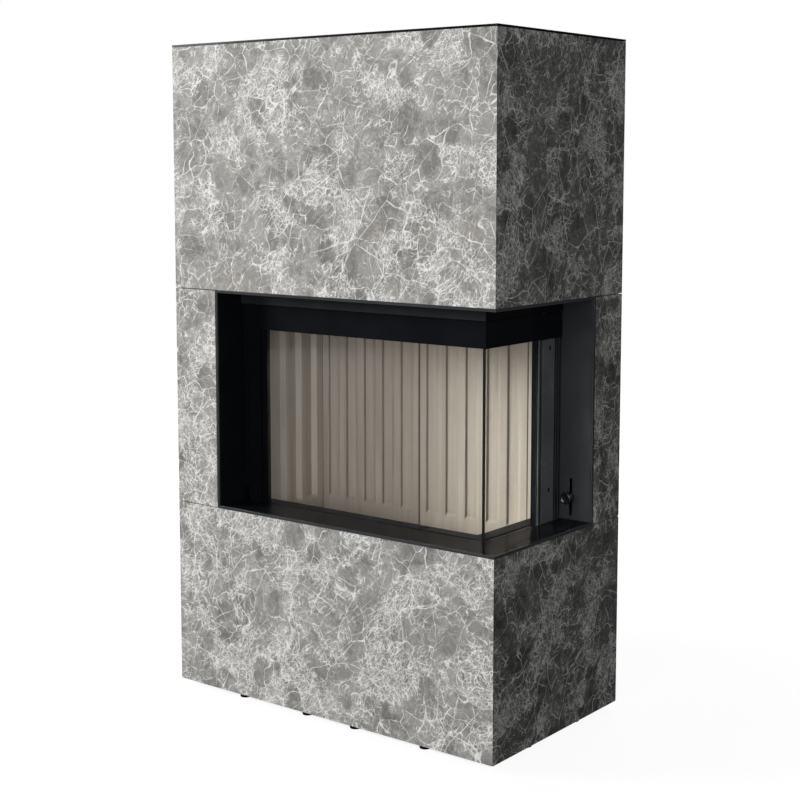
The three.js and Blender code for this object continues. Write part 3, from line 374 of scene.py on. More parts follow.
def stone_group(veins):
    """Veined limestone: smooth dark grains in a cloudy ground, crackle veins of five sizes, and straight cracks."""
    tree, given, out = new_group(
        "Veined stone",
        [("Place", "Vector", None), ("Ground", "Color", None), ("Dark", "Color", None), ("Vein", "Color", None),
         ("Warm", "Color", None)],
        [("Colour", "Color"), ("Roughness", "Float"), ("Height", "Float")])
    place = given["Place"]
    bent = warped(tree, warped(tree, place, 3.6, 0.15, 3.0), 40.0, 0.007, 3.0)

    def drawn(source, share):
        """The place pressed together along the slope of the cracks, so that what it maps grows long that way."""
        along = (0.62, 0.46, 0.636)
        far = maths(tree, "MULTIPLY", vector(tree, "DOT_PRODUCT", source, along, "Value"), share)
        step = put(tree, "ShaderNodeCombineXYZ", {0: along[0], 1: along[1], 2: along[2]}).outputs[0]
        return vector(tree, "SUBTRACT", source, scaled(tree, step, far))

    def crackle(source, cells, width, shown):
        node = put(tree, "ShaderNodeGroup", node_tree=veins)
        for title, value in (("Place", source), ("Cells", cells), ("Width", width), ("Shown", shown)):
            if isinstance(value, bpy.types.NodeSocket):
                tree.links.new(value, node.inputs[title])
            else:
                node.inputs[title].default_value = value
        return node.outputs["Veins"], node.outputs["Tone"]

    cluster = ramp(tree, noise(tree, bent, 7.0, 4.0, 0.6), 0.42, 0.62)
    cloud = noise(tree, bent, 12.0, 8.0, 0.68)
    fog = noise(tree, place, 46.0, 6.0, 0.7)
    bent = drawn(bent, 0.3)

    def wisp(scale, width):
        level = noise(tree, bent, scale, 5.0, 0.62)
        return ramp(tree, maths(tree, "ABSOLUTE", maths(tree, "SUBTRACT", level, 0.5)), width, 0.0)
    grain = put(tree, "ShaderNodeTexVoronoi", {"Vector": warped(tree, place, 14.0, 0.05, 2.0), "Scale": 15.0},
                feature="SMOOTH_F1")
    chosen = ramp(tree, put(tree, "ShaderNodeSeparateColor", {"Color": grain.outputs["Color"]}).outputs["Red"], 0.5, 0.75)
    smooth = maths(tree, "MULTIPLY", ramp(tree, grain.outputs["Distance"], 0.62, 0.3), chosen)
    bare = maths(tree, "SUBTRACT", 1.0, maths(tree, "MULTIPLY", smooth, 0.8))

    broad, broad_tone = crackle(bent, 14.0, 0.013, 0.72)
    middle, middle_tone = crackle(bent, 34.0, 0.028, maths(tree, "MULTIPLY", ramp(tree, cluster, 0, 1, 0.62, 0.95), bare))
    small, small_tone = crackle(bent, 80.0, 0.062, maths(tree, "MULTIPLY", ramp(tree, cluster, 0, 1, 0.52, 0.95), bare))
    tiny, _ = crackle(bent, 170.0, 0.12, maths(tree, "MULTIPLY", ramp(tree, cluster, 0, 1, 0.3, 0.9), bare))
    cracks, _ = crackle(drawn(warped(tree, place, 9.0, 0.02, 2.0), 0.88), 11.0, 0.0075, 0.6)

    grey = maths(tree, "MULTIPLY", broad_tone, 0.2)
    for tone, weight in ((middle_tone, 0.26), (small_tone, 0.16), (ramp(tree, cloud, 0.3, 0.7), 0.4),
                         (ramp(tree, fog, 0.25, 0.75), 0.3)):
        grey = maths(tree, "ADD", grey, maths(tree, "MULTIPLY", tone, weight))
    grey = maths(tree, "SUBTRACT", grey, maths(tree, "MULTIPLY", smooth, 0.24))
    ground = blend_colour(tree, ramp(tree, grey, 0.1, 0.95), given["Dark"], given["Ground"])
    warm = ramp(tree, noise(tree, place, 5.0, 3.0, 0.5), 0.5, 0.68)
    ground = blend_colour(tree, maths(tree, "MULTIPLY", warm, 0.5), ground, given["Warm"])
    haze = maths(tree, "MULTIPLY", ramp(tree, fog, 0.42, 0.72), ramp(tree, cloud, 0.44, 0.62))
    haze = maths(tree, "MULTIPLY", haze, ramp(tree, cluster, 0, 1, 0.1, 0.3))
    ground = blend_colour(tree, maths(tree, "MULTIPLY", haze, bare), ground, given["Vein"])

    share = maths(tree, "MULTIPLY", broad, 1.0)
    for other, weight in ((middle, 0.85), (cracks, 1.0), (small, 0.75), (tiny, 0.42), (wisp(19.0, 0.007), 0.5),
                          (wisp(48.0, 0.014), 0.35)):
        share = maths(tree, "ADD", share, maths(tree, "MULTIPLY", other, weight), True)
    share = maths(tree, "MULTIPLY", share, ramp(tree, fog, 0.3, 0.58, 0.4, 1.0))
    colour = blend_colour(tree, share, ground, given["Vein"])
    fleck = ramp(tree, noise(tree, place, 420.0, 2.0, 0.5), 0.3, 0.7, 0.93, 1.06)
    fleck = put(tree, "ShaderNodeCombineColor", {0: fleck, 1: fleck, 2: fleck}).outputs[0]
    tree.links.new(blend_colour(tree, 1.0, colour, fleck, "MULTIPLY"), out.inputs["Colour"])
    tree.links.new(ramp(tree, fog, 0.2, 0.8, 0.5, 0.62), out.inputs["Roughness"])
    tree.links.new(share, out.inputs["Height"])
    return tree


def coat_group():
    """Sprayed stove paint: fine orange peel, soft cloudiness and a little dust on what faces up."""
    tree, given, out = new_group(
        "Stove paint",
        [("Place", "Vector", None), ("Paint", "Color", None), ("Dust", "Float", 0.06), ("Dullness", "Float", 0.3)],
        [("Colour", "Color"), ("Roughness", "Float"), ("Height", "Float")])
    peel = noise(tree, given["Place"], 900.0, 2.0, 0.5)
    cloud = noise(tree, given["Place"], 7.0, 4.0, 0.55)
    up = put(tree, "ShaderNodeSeparateXYZ", {0: put(tree, "ShaderNodeNewGeometry").outputs["Normal"]}).outputs["Z"]
    settled = maths(tree, "MULTIPLY", ramp(tree, up, 0.3, 1.0), ramp(tree, cloud, 0.35, 0.7, 0.4, 1.0))
    settled = maths(tree, "MULTIPLY", settled, given["Dust"])
    shade = ramp(tree, cloud, 0.3, 0.7, 0.88, 1.12)
    paint = blend_colour(tree, 1.0, given["Paint"],
                         put(tree, "ShaderNodeCombineColor", {0: shade, 1: shade, 2: shade}).outputs[0], "MULTIPLY")
    tree.links.new(blend_colour(tree, settled, paint, (0.4, 0.39, 0.37)), out.inputs["Colour"])
    dull = maths(tree, "ADD", given["Dullness"], ramp(tree, cloud, 0.25, 0.75, -0.03, 0.03))
    tree.links.new(dull, out.inputs["Roughness"])
    tree.links.new(peel, out.inputs["Height"])
    return tree


def brushed_group():
    """Rolled and zinc-coated steel: long faint streaks and soft crystal patches."""
    tree, given, out = new_group(
        "Zinc steel", [("Place", "Vector", None), ("Metal", "Color", None)],
        [("Colour", "Color"), ("Roughness", "Float"), ("Height", "Float")])
    drawn = put(tree, "ShaderNodeMapping", {"Vector": given["Place"], "Scale": (260.0, 260.0, 6.0)}).outputs[0]
    streak = noise(tree, drawn, 1.0, 3.0, 0.6)
    spangle = put(tree, "ShaderNodeTexVoronoi", {"Vector": given["Place"], "Scale": 70.0}, feature="F1").outputs["Color"]
    patch = put(tree, "ShaderNodeSeparateColor", {"Color": spangle}).outputs["Red"]
    shade = maths(tree, "ADD", maths(tree, "MULTIPLY", streak, 0.22), maths(tree, "MULTIPLY", patch, 0.16))
    shade = maths(tree, "ADD", shade, 0.8)
    tree.links.new(blend_colour(tree, 1.0, given["Metal"], put(
        tree, "ShaderNodeCombineColor", {0: shade, 1: shade, 2: shade}).outputs[0], "MULTIPLY"), out.inputs["Colour"])
    tree.links.new(ramp(tree, streak, 0.2, 0.8, 0.34, 0.5), out.inputs["Roughness"])
    tree.links.new(streak, out.inputs["Height"])
    return tree


def cast_group():
    """Pressed fireclay and cast iron: pits and grain from a mould, with soft clouds of colour."""
    tree, given, out = new_group(
        "Moulded grain",
        [("Place", "Vector", None), ("Body", "Color", None), ("Stain", "Color", None), ("Grain", "Float", 260.0),
         ("Stained", "Float", 0.3)],
        [("Colour", "Color"), ("Roughness", "Float"), ("Height", "Float")])
    grain = noise(tree, given["Place"], given["Grain"], 3.0, 0.6)
    cloud = noise(tree, given["Place"], 6.0, 5.0, 0.6)
    drawn = put(tree, "ShaderNodeMapping", {"Vector": given["Place"], "Scale": (70.0, 70.0, 2.2)}).outputs[0]
    run = noise(tree, drawn, 1.0, 3.0, 0.55)
    pits = ramp(tree, noise(tree, given["Place"], maths(tree, "MULTIPLY", given["Grain"], 0.6), 1.0, 0.5), 0.26, 0.36)
    shade = maths(tree, "ADD", ramp(tree, grain, 0.3, 0.7, -0.045, 0.045), ramp(tree, run, 0.3, 0.7, 0.91, 1.05))
    body = blend_colour(tree, 1.0, given["Body"],
                        put(tree, "ShaderNodeCombineColor", {0: shade, 1: shade, 2: shade}).outputs[0], "MULTIPLY")
    stain = maths(tree, "MULTIPLY", ramp(tree, cloud, 0.45, 0.75), given["Stained"])
    tree.links.new(blend_colour(tree, stain, body, given["Stain"]), out.inputs["Colour"])
    tree.links.new(ramp(tree, cloud, 0.2, 0.8, 0.72, 0.86), out.inputs["Roughness"])
    tree.links.new(maths(tree, "ADD", grain, maths(tree, "MULTIPLY", pits, 0.7)), out.inputs["Height"])
    return tree


def new_material(name):
    material = bpy.data.materials.new(name)
    material.use_nodes = True
    tree = material.node_tree
    tree.nodes.clear()
    surface = put(tree, "ShaderNodeBsdfPrincipled")
    tree.links.new(surface.outputs[0], put(tree, "ShaderNodeOutputMaterial").inputs["Surface"])
    place = put(tree, "ShaderNodeTexCoord").outputs["Object"]
    return material, tree, surface, place


def grouped_material(name, group, colours, values, bump, metallic=0.0, specular=0.5, shift=(0.0, 0.0, 0.0)):
    """A material whose colour, roughness and relief come from one of the groups above."""
    material, tree, surface, place = new_material(name)
    moved = put(tree, "ShaderNodeMapping", {"Vector": place, "Location": shift}).outputs[0]
    node = put(tree, "ShaderNodeGroup", node_tree=group)
    tree.links.new(moved, node.inputs["Place"])
    for title, colour in colours.items():
        node.inputs[title].default_value = (*colour[:3], 1)
    for title, value in values.items():
        node.inputs[title].default_value = value
    relief = put(tree, "ShaderNodeBump", {"Height": node.outputs["Height"], "Strength": bump[0], "Distance": bump[1]})
    tree.links.new(node.outputs["Colour"], surface.inputs["Base Color"])
    tree.links.new(node.outputs["Roughness"], surface.inputs["Roughness"])
    tree.links.new(relief.outputs["Normal"], surface.inputs["Normal"])
    surface.inputs["Metallic"].default_value = metallic
    surface.inputs["Specular IOR Level"].default_value = specular
    return material


def glass_material():
    """Clear ceramic glass with a trace of warm tint, which lets the lamps' light through as plain air would."""
    material, tree, surface, place = new_material("Fire glass")
    surface.inputs["Transmission Weight"].default_value = 1.0
    surface.inputs["IOR"].default_value = 1.45
    smear = noise(tree, place, 5.0, 4.0, 0.6)
    surface.inputs["Roughness"].default_value = 0.0
    tint = blend_colour(tree, ramp(tree, smear, 0.3, 0.7), (0.985, 0.98, 0.965), (1.0, 0.995, 0.985))
    tree.links.new(tint, surface.inputs["Base Color"])
    clear = put(tree, "ShaderNodeBsdfTransparent", {"Color": (0.93, 0.925, 0.91, 1)})
    through = put(tree, "ShaderNodeMixShader", {0: put(tree, "ShaderNodeLightPath").outputs["Is Shadow Ray"],
                                                1: surface.outputs[0], 2: clear.outputs[0]})
    end = next(n for n in tree.nodes if n.bl_idname == "ShaderNodeOutputMaterial")
    tree.links.new(through.outputs[0], end.inputs["Surface"])
    return material


MATERIALS = {}
SLOT_OF = {part["node"]: part["material_slot"] for part in frame["record"]["subparts"]}
BODY_OF = {node: body for body, nodes in frame["record"]["behaviour"]["bodies"].items() for node in nodes}


def make_materials():
    stone, steel, lining = (getattr(bpy.context.scene, n) for n in ("hearth_stone", "hearth_steel", "hearth_lining"))
    veined = stone_group(vein_group())
    paint, zinc, cast = coat_group(), brushed_group(), cast_group()
    tones = {"Ground": stone.mid, "Dark": stone.dark, "Vein": stone.vein, "Warm": stone.warm}
    # Painted shade: the side stone is the front's veined stone with its ground, grains, veins and warm patches painted
    # darker, for the glazed side that the lamps light weakly.
    painted_side_shades = {"Ground": stone.side, "Dark": tuple(0.45 * c for c in stone.side),
              "Vein": tuple(0.75 * c for c in stone.vein), "Warm": tuple(0.85 * c for c in stone.side)}
    MATERIALS.update({
        "front_stone": grouped_material("Front stone", veined, tones, {}, (0.1, 0.0003), specular=0.15,
                                        shift=(3.1, 0.7, 1.9)),
        "side_stone": grouped_material("Side stone", veined, painted_side_shades, {}, (0.1, 0.0003), specular=0.12,
                                       shift=(5.3, 2.2, 0.4)),
        "black_steel": grouped_material("Black stove paint", paint, {"Paint": steel.black},
                                        {"Dust": 0.006, "Dullness": 0.17}, (0.02, 0.0001), specular=0.06),
        # Painted light: the grey paint made paler for the rear stile, which faces the side and gets little light.
        "painted_light_stile_steel": grouped_material("Pale stove paint", paint, {"Paint": steel.stile},
                                        {"Dust": 0.006, "Dullness": 0.25}, (0.02, 0.0001), specular=0.2),
        "ledge_steel": grouped_material("Ledge paint", paint, {"Paint": steel.black},
                                        {"Dust": 0.004, "Dullness": 0.15}, (0.02, 0.0001), specular=0.02),
        "fascia_steel": grouped_material("Fascia paint", paint, {"Paint": tuple(0.6 * c for c in steel.grey)},
                                         {"Dust": 0.006, "Dullness": 0.22}, (0.02, 0.0001), specular=0.1),
        "firebox_steel": grouped_material("Firebox paint", paint, {"Paint": (0.007, 0.009, 0.0105)},
                                          {"Dust": 0.002, "Dullness": 0.3}, (0.02, 0.0001), specular=0.02),
        "knob_steel": grouped_material("Glossy black knob", paint, {"Paint": steel.black},
                                       {"Dust": 0.0, "Dullness": 0.14}, (0.02, 0.0001), specular=0.8),
        "grey_steel": grouped_material("Grey stove paint", paint, {"Paint": steel.grey},
                                       {"Dust": 0.006, "Dullness": 0.13}, (0.02, 0.0001), specular=0.35),
        "zinc_steel": grouped_material("Zinc-coated steel", zinc, {"Metal": (0.5, 0.51, 0.52)}, {},
                                       (0.15, 0.0002), metallic=0.85),
        "cast_metal": grouped_material("Cast iron", cast, {"Body": (0.035, 0.035, 0.037), "Stain": (0.07, 0.055, 0.045)},
                                       {"Grain": 420.0}, (0.5, 0.0006), metallic=0.5),
        "fireclay": grouped_material("Fireclay", cast, {"Body": lining.clay, "Stain": (0.34, 0.3, 0.25)},
                                     {"Grain": 300.0, "Stained": 0.22}, (0.3, 0.0005), specular=0.25),
        "corner_seal": grouped_material("Silicone seal", paint, {"Paint": (0.003, 0.003, 0.003)},
                                        {"Dust": 0.0, "Dullness": 0.6}, (0.1, 0.0001), specular=0.15),
        "fire_glass": glass_material(),
    })
    add_painted_shade(MATERIALS["fireclay"])


def add_painted_shade(material):
    """Darkens a material where the mesh's own Shade value is high: painted shade in the channels' inner corners and the
    panels' joints, and an even painted shade on the left panel's faces.
    """
    tree = material.node_tree
    surface = next(n for n in tree.nodes if n.bl_idname == "ShaderNodeBsdfPrincipled")
    colour = surface.inputs["Base Color"].links[0].from_socket
    shade = put(tree, "ShaderNodeAttribute", attribute_name="Shade").outputs["Fac"]
    # Painted shade: the colour goes towards a dark brown by up to three quarters of the Shade value.
    painted_shade_colour = blend_colour(tree, maths(tree, "MULTIPLY", shade, 0.75), colour, (0.05, 0.042, 0.034))
    tree.links.new(painted_shade_colour, surface.inputs["Base Color"])


def dress(piece, slot, material=None):
    """Gives the piece its slot's material, or a variant of it."""
    piece.data.materials.clear()
    piece.data.materials.append(MATERIALS[material or slot])
    return piece


# ---- Pieces ---------------------------------------------------------------------------------------------
class Builder(bpy.types.Operator):
    """Shared by the piece operators: each makes its pieces and finishes."""
    bl_options = {"REGISTER", "UNDO"}

    def execute(self, context):
        self.build(context.scene)
        return {"FINISHED"}


class HEARTH_OT_materials(Builder):
    """Make the stone, paint, zinc, iron, fireclay and glass materials"""
    bl_idname = "hearth.materials"
    bl_label = "Materials"

    def build(self, scene):
        make_materials()
        for node, piece in frame["nodes"].items():
            dress(piece, SLOT_OF[node])


class HEARTH_OT_stone(Builder):
    """Finish the stone slabs with fine rounded arrises"""
    bl_idname = "hearth.stone"
    bl_label = "Stone slabs"

    def build(self, scene):
        for node, slot in SLOT_OF.items():
            if slot in ("front_stone", "side_stone"):
                dress(edged_copy(node, scene.hearth_stone.arris), slot)


class HEARTH_OT_recess(Builder):
    """Finish the recess round the glass, its edge trim, the lintel cover and the fascia"""
    bl_idname = "hearth.recess"
    bl_label = "Recess and lintel"

    def build(self, scene):
        for node in ("recess_ledge", "ledge_access_plate"):
            dress(edged_copy(node, scene.hearth_steel.bend), SLOT_OF[node], "ledge_steel")
        for node in ("opening_trim", "recess_jamb_left", "recess_jamb_right", "recess_soffit", "lintel_cover",
                     "side_fascia_strip"):
            dress(edged_copy(node, scene.hearth_steel.bend), SLOT_OF[node])
        dress(edged_copy("front_fascia_strip", scene.hearth_steel.bend), "grey_steel", "fascia_steel")
        dress(edged_copy("firebox_rim", scene.hearth_steel.bend), "grey_steel", "firebox_steel")


class HEARTH_OT_door(Builder):
    """Finish the door's profiles, stiles and lock screws, and its guide rails"""
    bl_idname = "hearth.door"
    bl_label = "Door and rails"

    def build(self, scene):
        for node in ("door_stile_left", "door_bottom_profile", "door_top_profile", "door_lock_lower",
                     "door_lock_upper", "guide_rail_left", "guide_rail_rear"):
            dress(edged_copy(node, scene.hearth_steel.bend), SLOT_OF[node])
        # The rear stile takes the paler grey paint as painted light on its shaded side faces.
        stile = dress(edged_copy("door_stile_rear", scene.hearth_steel.bend), "grey_steel", "painted_light_stile_steel")
        behind_glass(stile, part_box("door_glass_side")[0][0])


def behind_glass(stile, inner):
    """Gives the stile's faces that look into the firebox the firebox's darker paint."""
    count = len(stile.data.polygons)
    centres = np.empty(count * 3)
    stile.data.polygons.foreach_get("center", centres)
    stile.data.materials.append(MATERIALS["firebox_steel"])
    stile.data.polygons.foreach_set("material_index", (centres[::3] < inner).astype(int))


def channel_depth(across, up, start, width, foot, depth, steep, slope):
    """Depth of one lining channel: a steep flank on one side, a long slope on the other, and a sloped foot."""
    rise = np.clip((across - start) / steep, 0, 1)
    fall = np.clip((start + width - across) / slope, 0, 1)
    toe = np.clip((up - foot) / 0.01, 0, 1)
    return depth * np.minimum(np.minimum(rise, fall), toe)


def painted_channel_shade(across, starts, channel, slope, steep, level):
    """Share of painted shade across a panel: most in each channel's inner corner, none on its long slope, even
    elsewhere.
    """
    marks, shares = [0.0], [level]
    for s in starts:
        end = s + channel
        marks += [s - 0.0001, s + steep, s + 0.0035, s + 0.006, end - slope - 0.0015, end - slope, end, end + 0.0015]
        shares += [level, 1.0, 0.8, level, level, 0.0, 0.0, level]
    return np.interp(across, marks, shares)


def lining_panel(name, node, along, sign, settings, channel, depth, slope, level=0.0):
    """A fireclay panel: its face is a function of the place across and up, pressed in by the channels.

    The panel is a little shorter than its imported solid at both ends, so that the joints beside it stay open.
    """
    lo, hi = (np.array(c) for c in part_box(node))
    lo[along] += settings.joint / 2
    hi[along] -= settings.joint / 2
    length = hi[along] - lo[along]
    count = int((length + settings.pitch - channel) // settings.pitch)
    margin = (length - count * channel - (count - 1) * (settings.pitch - channel)) / 2
    starts = margin + settings.pitch * np.arange(count)
    steep = 0.0012
    stops = np.concatenate([starts + d for d in (0, steep, 0.0035, 0.006, channel - slope - 0.0015, channel - slope,
                                                 channel, channel + 0.0015)])
    across = np.unique(np.concatenate([[0.0008, 0.003, length - 0.003, length - 0.0008], stops]))
    heights = np.array([lo[2], settings.foot, settings.foot + 0.01, hi[2]])
    face = 1 - along
    rings = []
    shade = np.full((len(heights), len(across) + 4), level)
    for k, z in enumerate(heights):
        pressed = sum(channel_depth(across, z, s, channel, settings.foot, depth, steep, slope) for s in starts)
        front = lo[face] + pressed if sign < 0 else hi[face] - pressed
        rear = hi[face] if sign < 0 else lo[face]
        ring = np.zeros((len(across) + 4, 3))
        ring[:, 2] = z
        ring[1:-3, along] = lo[along] + across
        ring[1:-3, face] = front
        ring[[0, -3], along] = [lo[along], hi[along]]
        ring[[0, -3], face] = (lo[face] + 0.0008) if sign < 0 else (hi[face] - 0.0008)
        ring[-2:, along] = [hi[along], lo[along]]
        ring[-2:, face] = rear
        rings.append(ring)
        if k > 1:
            shade[k, 1:-3] = painted_channel_shade(across, starts, channel, slope, steep, level)
        # Painted shade in the open joints: the panel's end faces and their nearest points get the full Shade.
        shade[k, [0, 1, -4, -3]] = 1.0
    points, faces = loft(rings)
    piece = mesh_piece(name, points, faces, "casing")
    piece.data.attributes.new("Shade", "FLOAT", "POINT").data.foreach_set("value", shade.ravel())
    facing_out(piece)
    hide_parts(node)
    return dress(rounded(piece, 0.0012, 2), "fireclay")


class HEARTH_OT_lining(Builder):
    """Make the channelled fireclay panels, and finish the floor, curb and baffle"""
    bl_idname = "hearth.lining"
    bl_label = "Fireclay lining"

    def build(self, scene):
        settings = scene.hearth_lining
        for side in ("left", "right"):
            lining_panel("back_panel_" + side, "lining_back_" + side, 0, -1, settings, settings.channel,
                         settings.back_depth, 0.011)
        # The left panel's even Shade of 0.38 is painted shade on its ridges and channel floors, which leaves the long
        # slopes lighter as painted light.
        lining_panel("left_panel", "lining_left", 1, 1, settings, settings.left_channel, settings.left_depth, 0.013,
                     level=0.38)
        for node in ("lining_filler", "lining_floor", "lining_curb", "baffle_plate"):
            dress(edged_copy(node, 0.001), "fireclay")


class HEARTH_OT_knob(Builder):
    """Make the air lever's knob: a turned rim round a dished face with finger grooves"""
    bl_idname = "hearth.knob"
    bl_label = "Air knob"

    def build(self, scene):
        lo, hi = (np.array(c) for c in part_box("air_knob"))
        centre = (lo + hi) / 2
        r = (hi[0] - lo[0]) / 2
        near, far = lo[1], hi[1]
        curve = np.linspace(0, np.pi / 2, 7)
        rim = np.c_[r - 0.003 + 0.003 * np.cos(curve), near + 0.003 - 0.003 * np.sin(curve)]
        dish = np.linspace(0, 1, 8)
        face = np.c_[(r - 0.0055) * (1 - dish), near + 0.0022 - 0.0012 * np.cos(dish * np.pi / 2) * (1 - dish)]
        back = [[0, far], [r * 0.6, far], [r * 0.6, far - 0.004], [r - 0.0012, far - 0.0056], [r, far - 0.007]]
        profile = np.vstack([back, rim, [[r - 0.0048, near + 0.0004]], face])
        rings = turned(np.c_[profile[:, 0], profile[:, 1] - centre[1]], centre, "y", 96)
        angle = np.linspace(0, 2 * np.pi, 96, endpoint=False)
        groove = 1 - 0.035 * np.clip(np.cos(angle * 12), 0, 1)
        side = np.zeros(len(profile))
        side[4:7] = 1
        middle = centre[[0, 2]]
        flat = rings[:, :, [0, 2]] - middle
        flat *= 1 + side[:, None, None] * (groove[None, :, None] - 1)
        rings[:, :, [0, 2]] = flat + middle
        points, faces = loft(rings)
        knob = facing_out(mesh_piece("air_knob_turned", points, faces, "air_control", smooth=True))
        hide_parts("air_knob")
        dress(knob, "black_steel", "knob_steel")
        dress(edged_copy("air_lever", 0.0006), SLOT_OF["air_lever"])


class HEARTH_OT_casing(Builder):
    """Finish the cover, rear panels, frame, base and stand, with vent slats and panel screws"""
    bl_idname = "hearth.casing"
    bl_label = "Casing"

    def build(self, scene):
        for node in ("rear_panel_lower", "rear_panel_upper"):
            dress(set_back(edged_copy(node, 0.0004), 1, 0.0018), SLOT_OF[node])
        for node, radius in (("cover_plate", 0.0008), ("casing_frame", 0.002), ("base_frame", 0.002), ("insert_stand", 0.001),
                             ("smoke_dome", 0.0008), ("air_duct", 0.0006)):
            dress(edged_copy(node, radius), SLOT_OF[node])
        for node in ("firebox_shell", "firebox_head"):
            dress(edged_copy(node, 0.0006), "grey_steel", "firebox_steel")
        self.slats()
        self.screws()
        self.feet()

    def slats(self):
        """Slats of the vents: one tilted blade set down again and again across each opening."""
        for name, x0 in (("cover_slats_left", -0.41), ("cover_slats_right", 0.19)):
            z0, z1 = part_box("cover_plate")[0][2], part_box("cover_plate")[1][2]
            blade = np.array([[0, z0 + 0.0004], [0.0016, z0 + 0.0004], [0.0056, z1 - 0.0004], [0.004, z1 - 0.0004]])
            ring = [np.c_[blade[:, 0], np.full(4, y), blade[:, 1]] for y in (0.0146, 0.1054)]
            places = np.c_[x0 + 0.006 + 0.0145 * np.arange(15), np.zeros(15), np.zeros(15)]
            points, faces = repeated(*loft(ring), places)
            dress(facing_out(mesh_piece(name, points, faces, "casing")), "black_steel")
        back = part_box("rear_panel_lower")[1][1] - 0.0018
        blade = np.array([[back - 0.001, 0], [back, 0], [back + 0.0014, 0.0075], [back + 0.0004, 0.0075]])
        ring = [np.c_[np.full(4, x), blade] for x in (-0.4204, 0.0804)]
        places = np.c_[np.zeros(9), np.zeros(9), 0.0875 + 0.0122 * np.arange(9)]
        points, faces = repeated(*loft(ring), places)
        dress(facing_out(mesh_piece("rear_vent_slats", points, faces, "casing")), "zinc_steel")

    def screws(self):
        """Screw heads along the rear panels' edges: low domes with a hollow in the middle, standing on the sheet."""
        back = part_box("rear_panel_upper")[1][1]
        curve = np.linspace(0, np.pi / 2, 4)
        profile = np.vstack([[[0, -0.0022]], np.c_[0.0055 * np.cos(curve), -0.0019 + 0.0018 * np.sin(curve)][:-1],
                             [[0.0016, -0.0002], [0, -0.0011]]])
        places = [(x, back, z) for x in (-0.53, 0.53) for z in (0.04, 0.21, 0.38, 0.545, 0.58, 0.9, 1.22, 1.54, 1.86)]
        places += [(x, back, z) for x in (-0.26, 0.0, 0.26) for z in (0.04, 0.545, 0.58, 1.86)]
        points, faces = repeated(*loft(turned(profile, (0, 0, 0), "y", 16)), places)
        dress(facing_out(mesh_piece("rear_screws", points, faces, "casing", smooth=True)), "zinc_steel")

    def feet(self):
        """Lock nuts and rubber soles on the levelling feet: a hexagon and a ring of revolution, repeated."""
        (x0, y0, _), (x1, y1, _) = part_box("casing_frame")
        tube, spacing = 0.025, 0.242
        ys = (y0 + tube / 2, y1 - tube / 2)
        xs = (x0 + tube / 2, x1 - tube / 2)
        places = [(x + s * spacing / 2, y, 0) for x in (0.1975, -0.2195) for y in ys for s in (-1, 1)]
        places += [(x, 0.0265 + s * spacing / 2, 0) for x in xs for s in (-1, 1)]
        nut = [(0.0052, 0.0066), (0.0088, 0.0066), (0.0098, 0.0072), (0.0098, 0.0098), (0.0088, 0.0104),
               (0.0052, 0.0104), (0.0052, 0.0066)]
        sole = [(0.0142, 0.0), (0.0153, 0.0008), (0.0157, 0.003), (0.0153, 0.0056), (0.0142, 0.0064), (0.0142, 0.0)]
        for name, profile, sides, slot in (("foot_nuts", nut, 6, "zinc_steel"), ("foot_soles", sole, 28, "corner_seal")):
            rings = turned(profile[:-1], (0, 0, 0), "z", sides)
            faces = ring_faces(len(rings) + 1, sides) % (len(rings) * sides)
            points, faces = repeated(rings, faces.tolist(), places)
            dress(facing_out(mesh_piece(name, points, faces, "casing")), slot)


def roller_chain(name, x, y, low, high, turn):
    """A roller chain hanging straight: waisted side plates and round rollers, one link every 8 mm."""
    pitch = 0.008
    count = int((high - low) // pitch)
    angle = np.linspace(0, 2 * np.pi, 12, endpoint=False)
    outline = np.c_[0.0026 * np.cos(angle) * (1 - 0.25 * np.cos(angle) ** 6), 0.0058 * np.sin(angle)]
    plates, faces, total = [], [], 0
    for depth in (-0.0024, 0.0016):
        ring = [np.c_[outline[:, 0], np.full(12, d), outline[:, 1] + pitch / 2] for d in (depth, depth + 0.0008)]
        points, made = loft(ring)
        plates.append(points)
        faces += [[i + total for i in f] for f in made]
        total += len(points)
    points, made = loft(turned([(0.0, -0.0015), (0.0022, -0.0015), (0.0022, 0.0015), (0.0, 0.0015)], (0, 0, 0), "y", 10))
    plates.append(points)
    faces += [[i + total for i in f] for f in made]
    link = np.vstack(plates)
    step = (high - low) / count
    points, faces = repeated(link, faces, np.c_[np.zeros(count), np.zeros(count), low + step * (np.arange(count) + 0.1)])
    c, s = math.cos(turn), math.sin(turn)
    points[:, :2] = points[:, :2] @ np.array([[c, s], [-s, c]])
    points[:, :2] += (x, y)
    points[:, 2] = np.clip(points[:, 2], low, high)
    mesh = bpy.data.meshes.new(name)
    mesh.from_pydata(points.tolist(), [], [list(map(int, f)) for f in faces])
    chain = bpy.data.objects.new(name, mesh)
    bpy.context.collection.objects.link(chain)
    facing_out(chain)
    dress(chain, "zinc_steel")
    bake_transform(chain)
    return chain


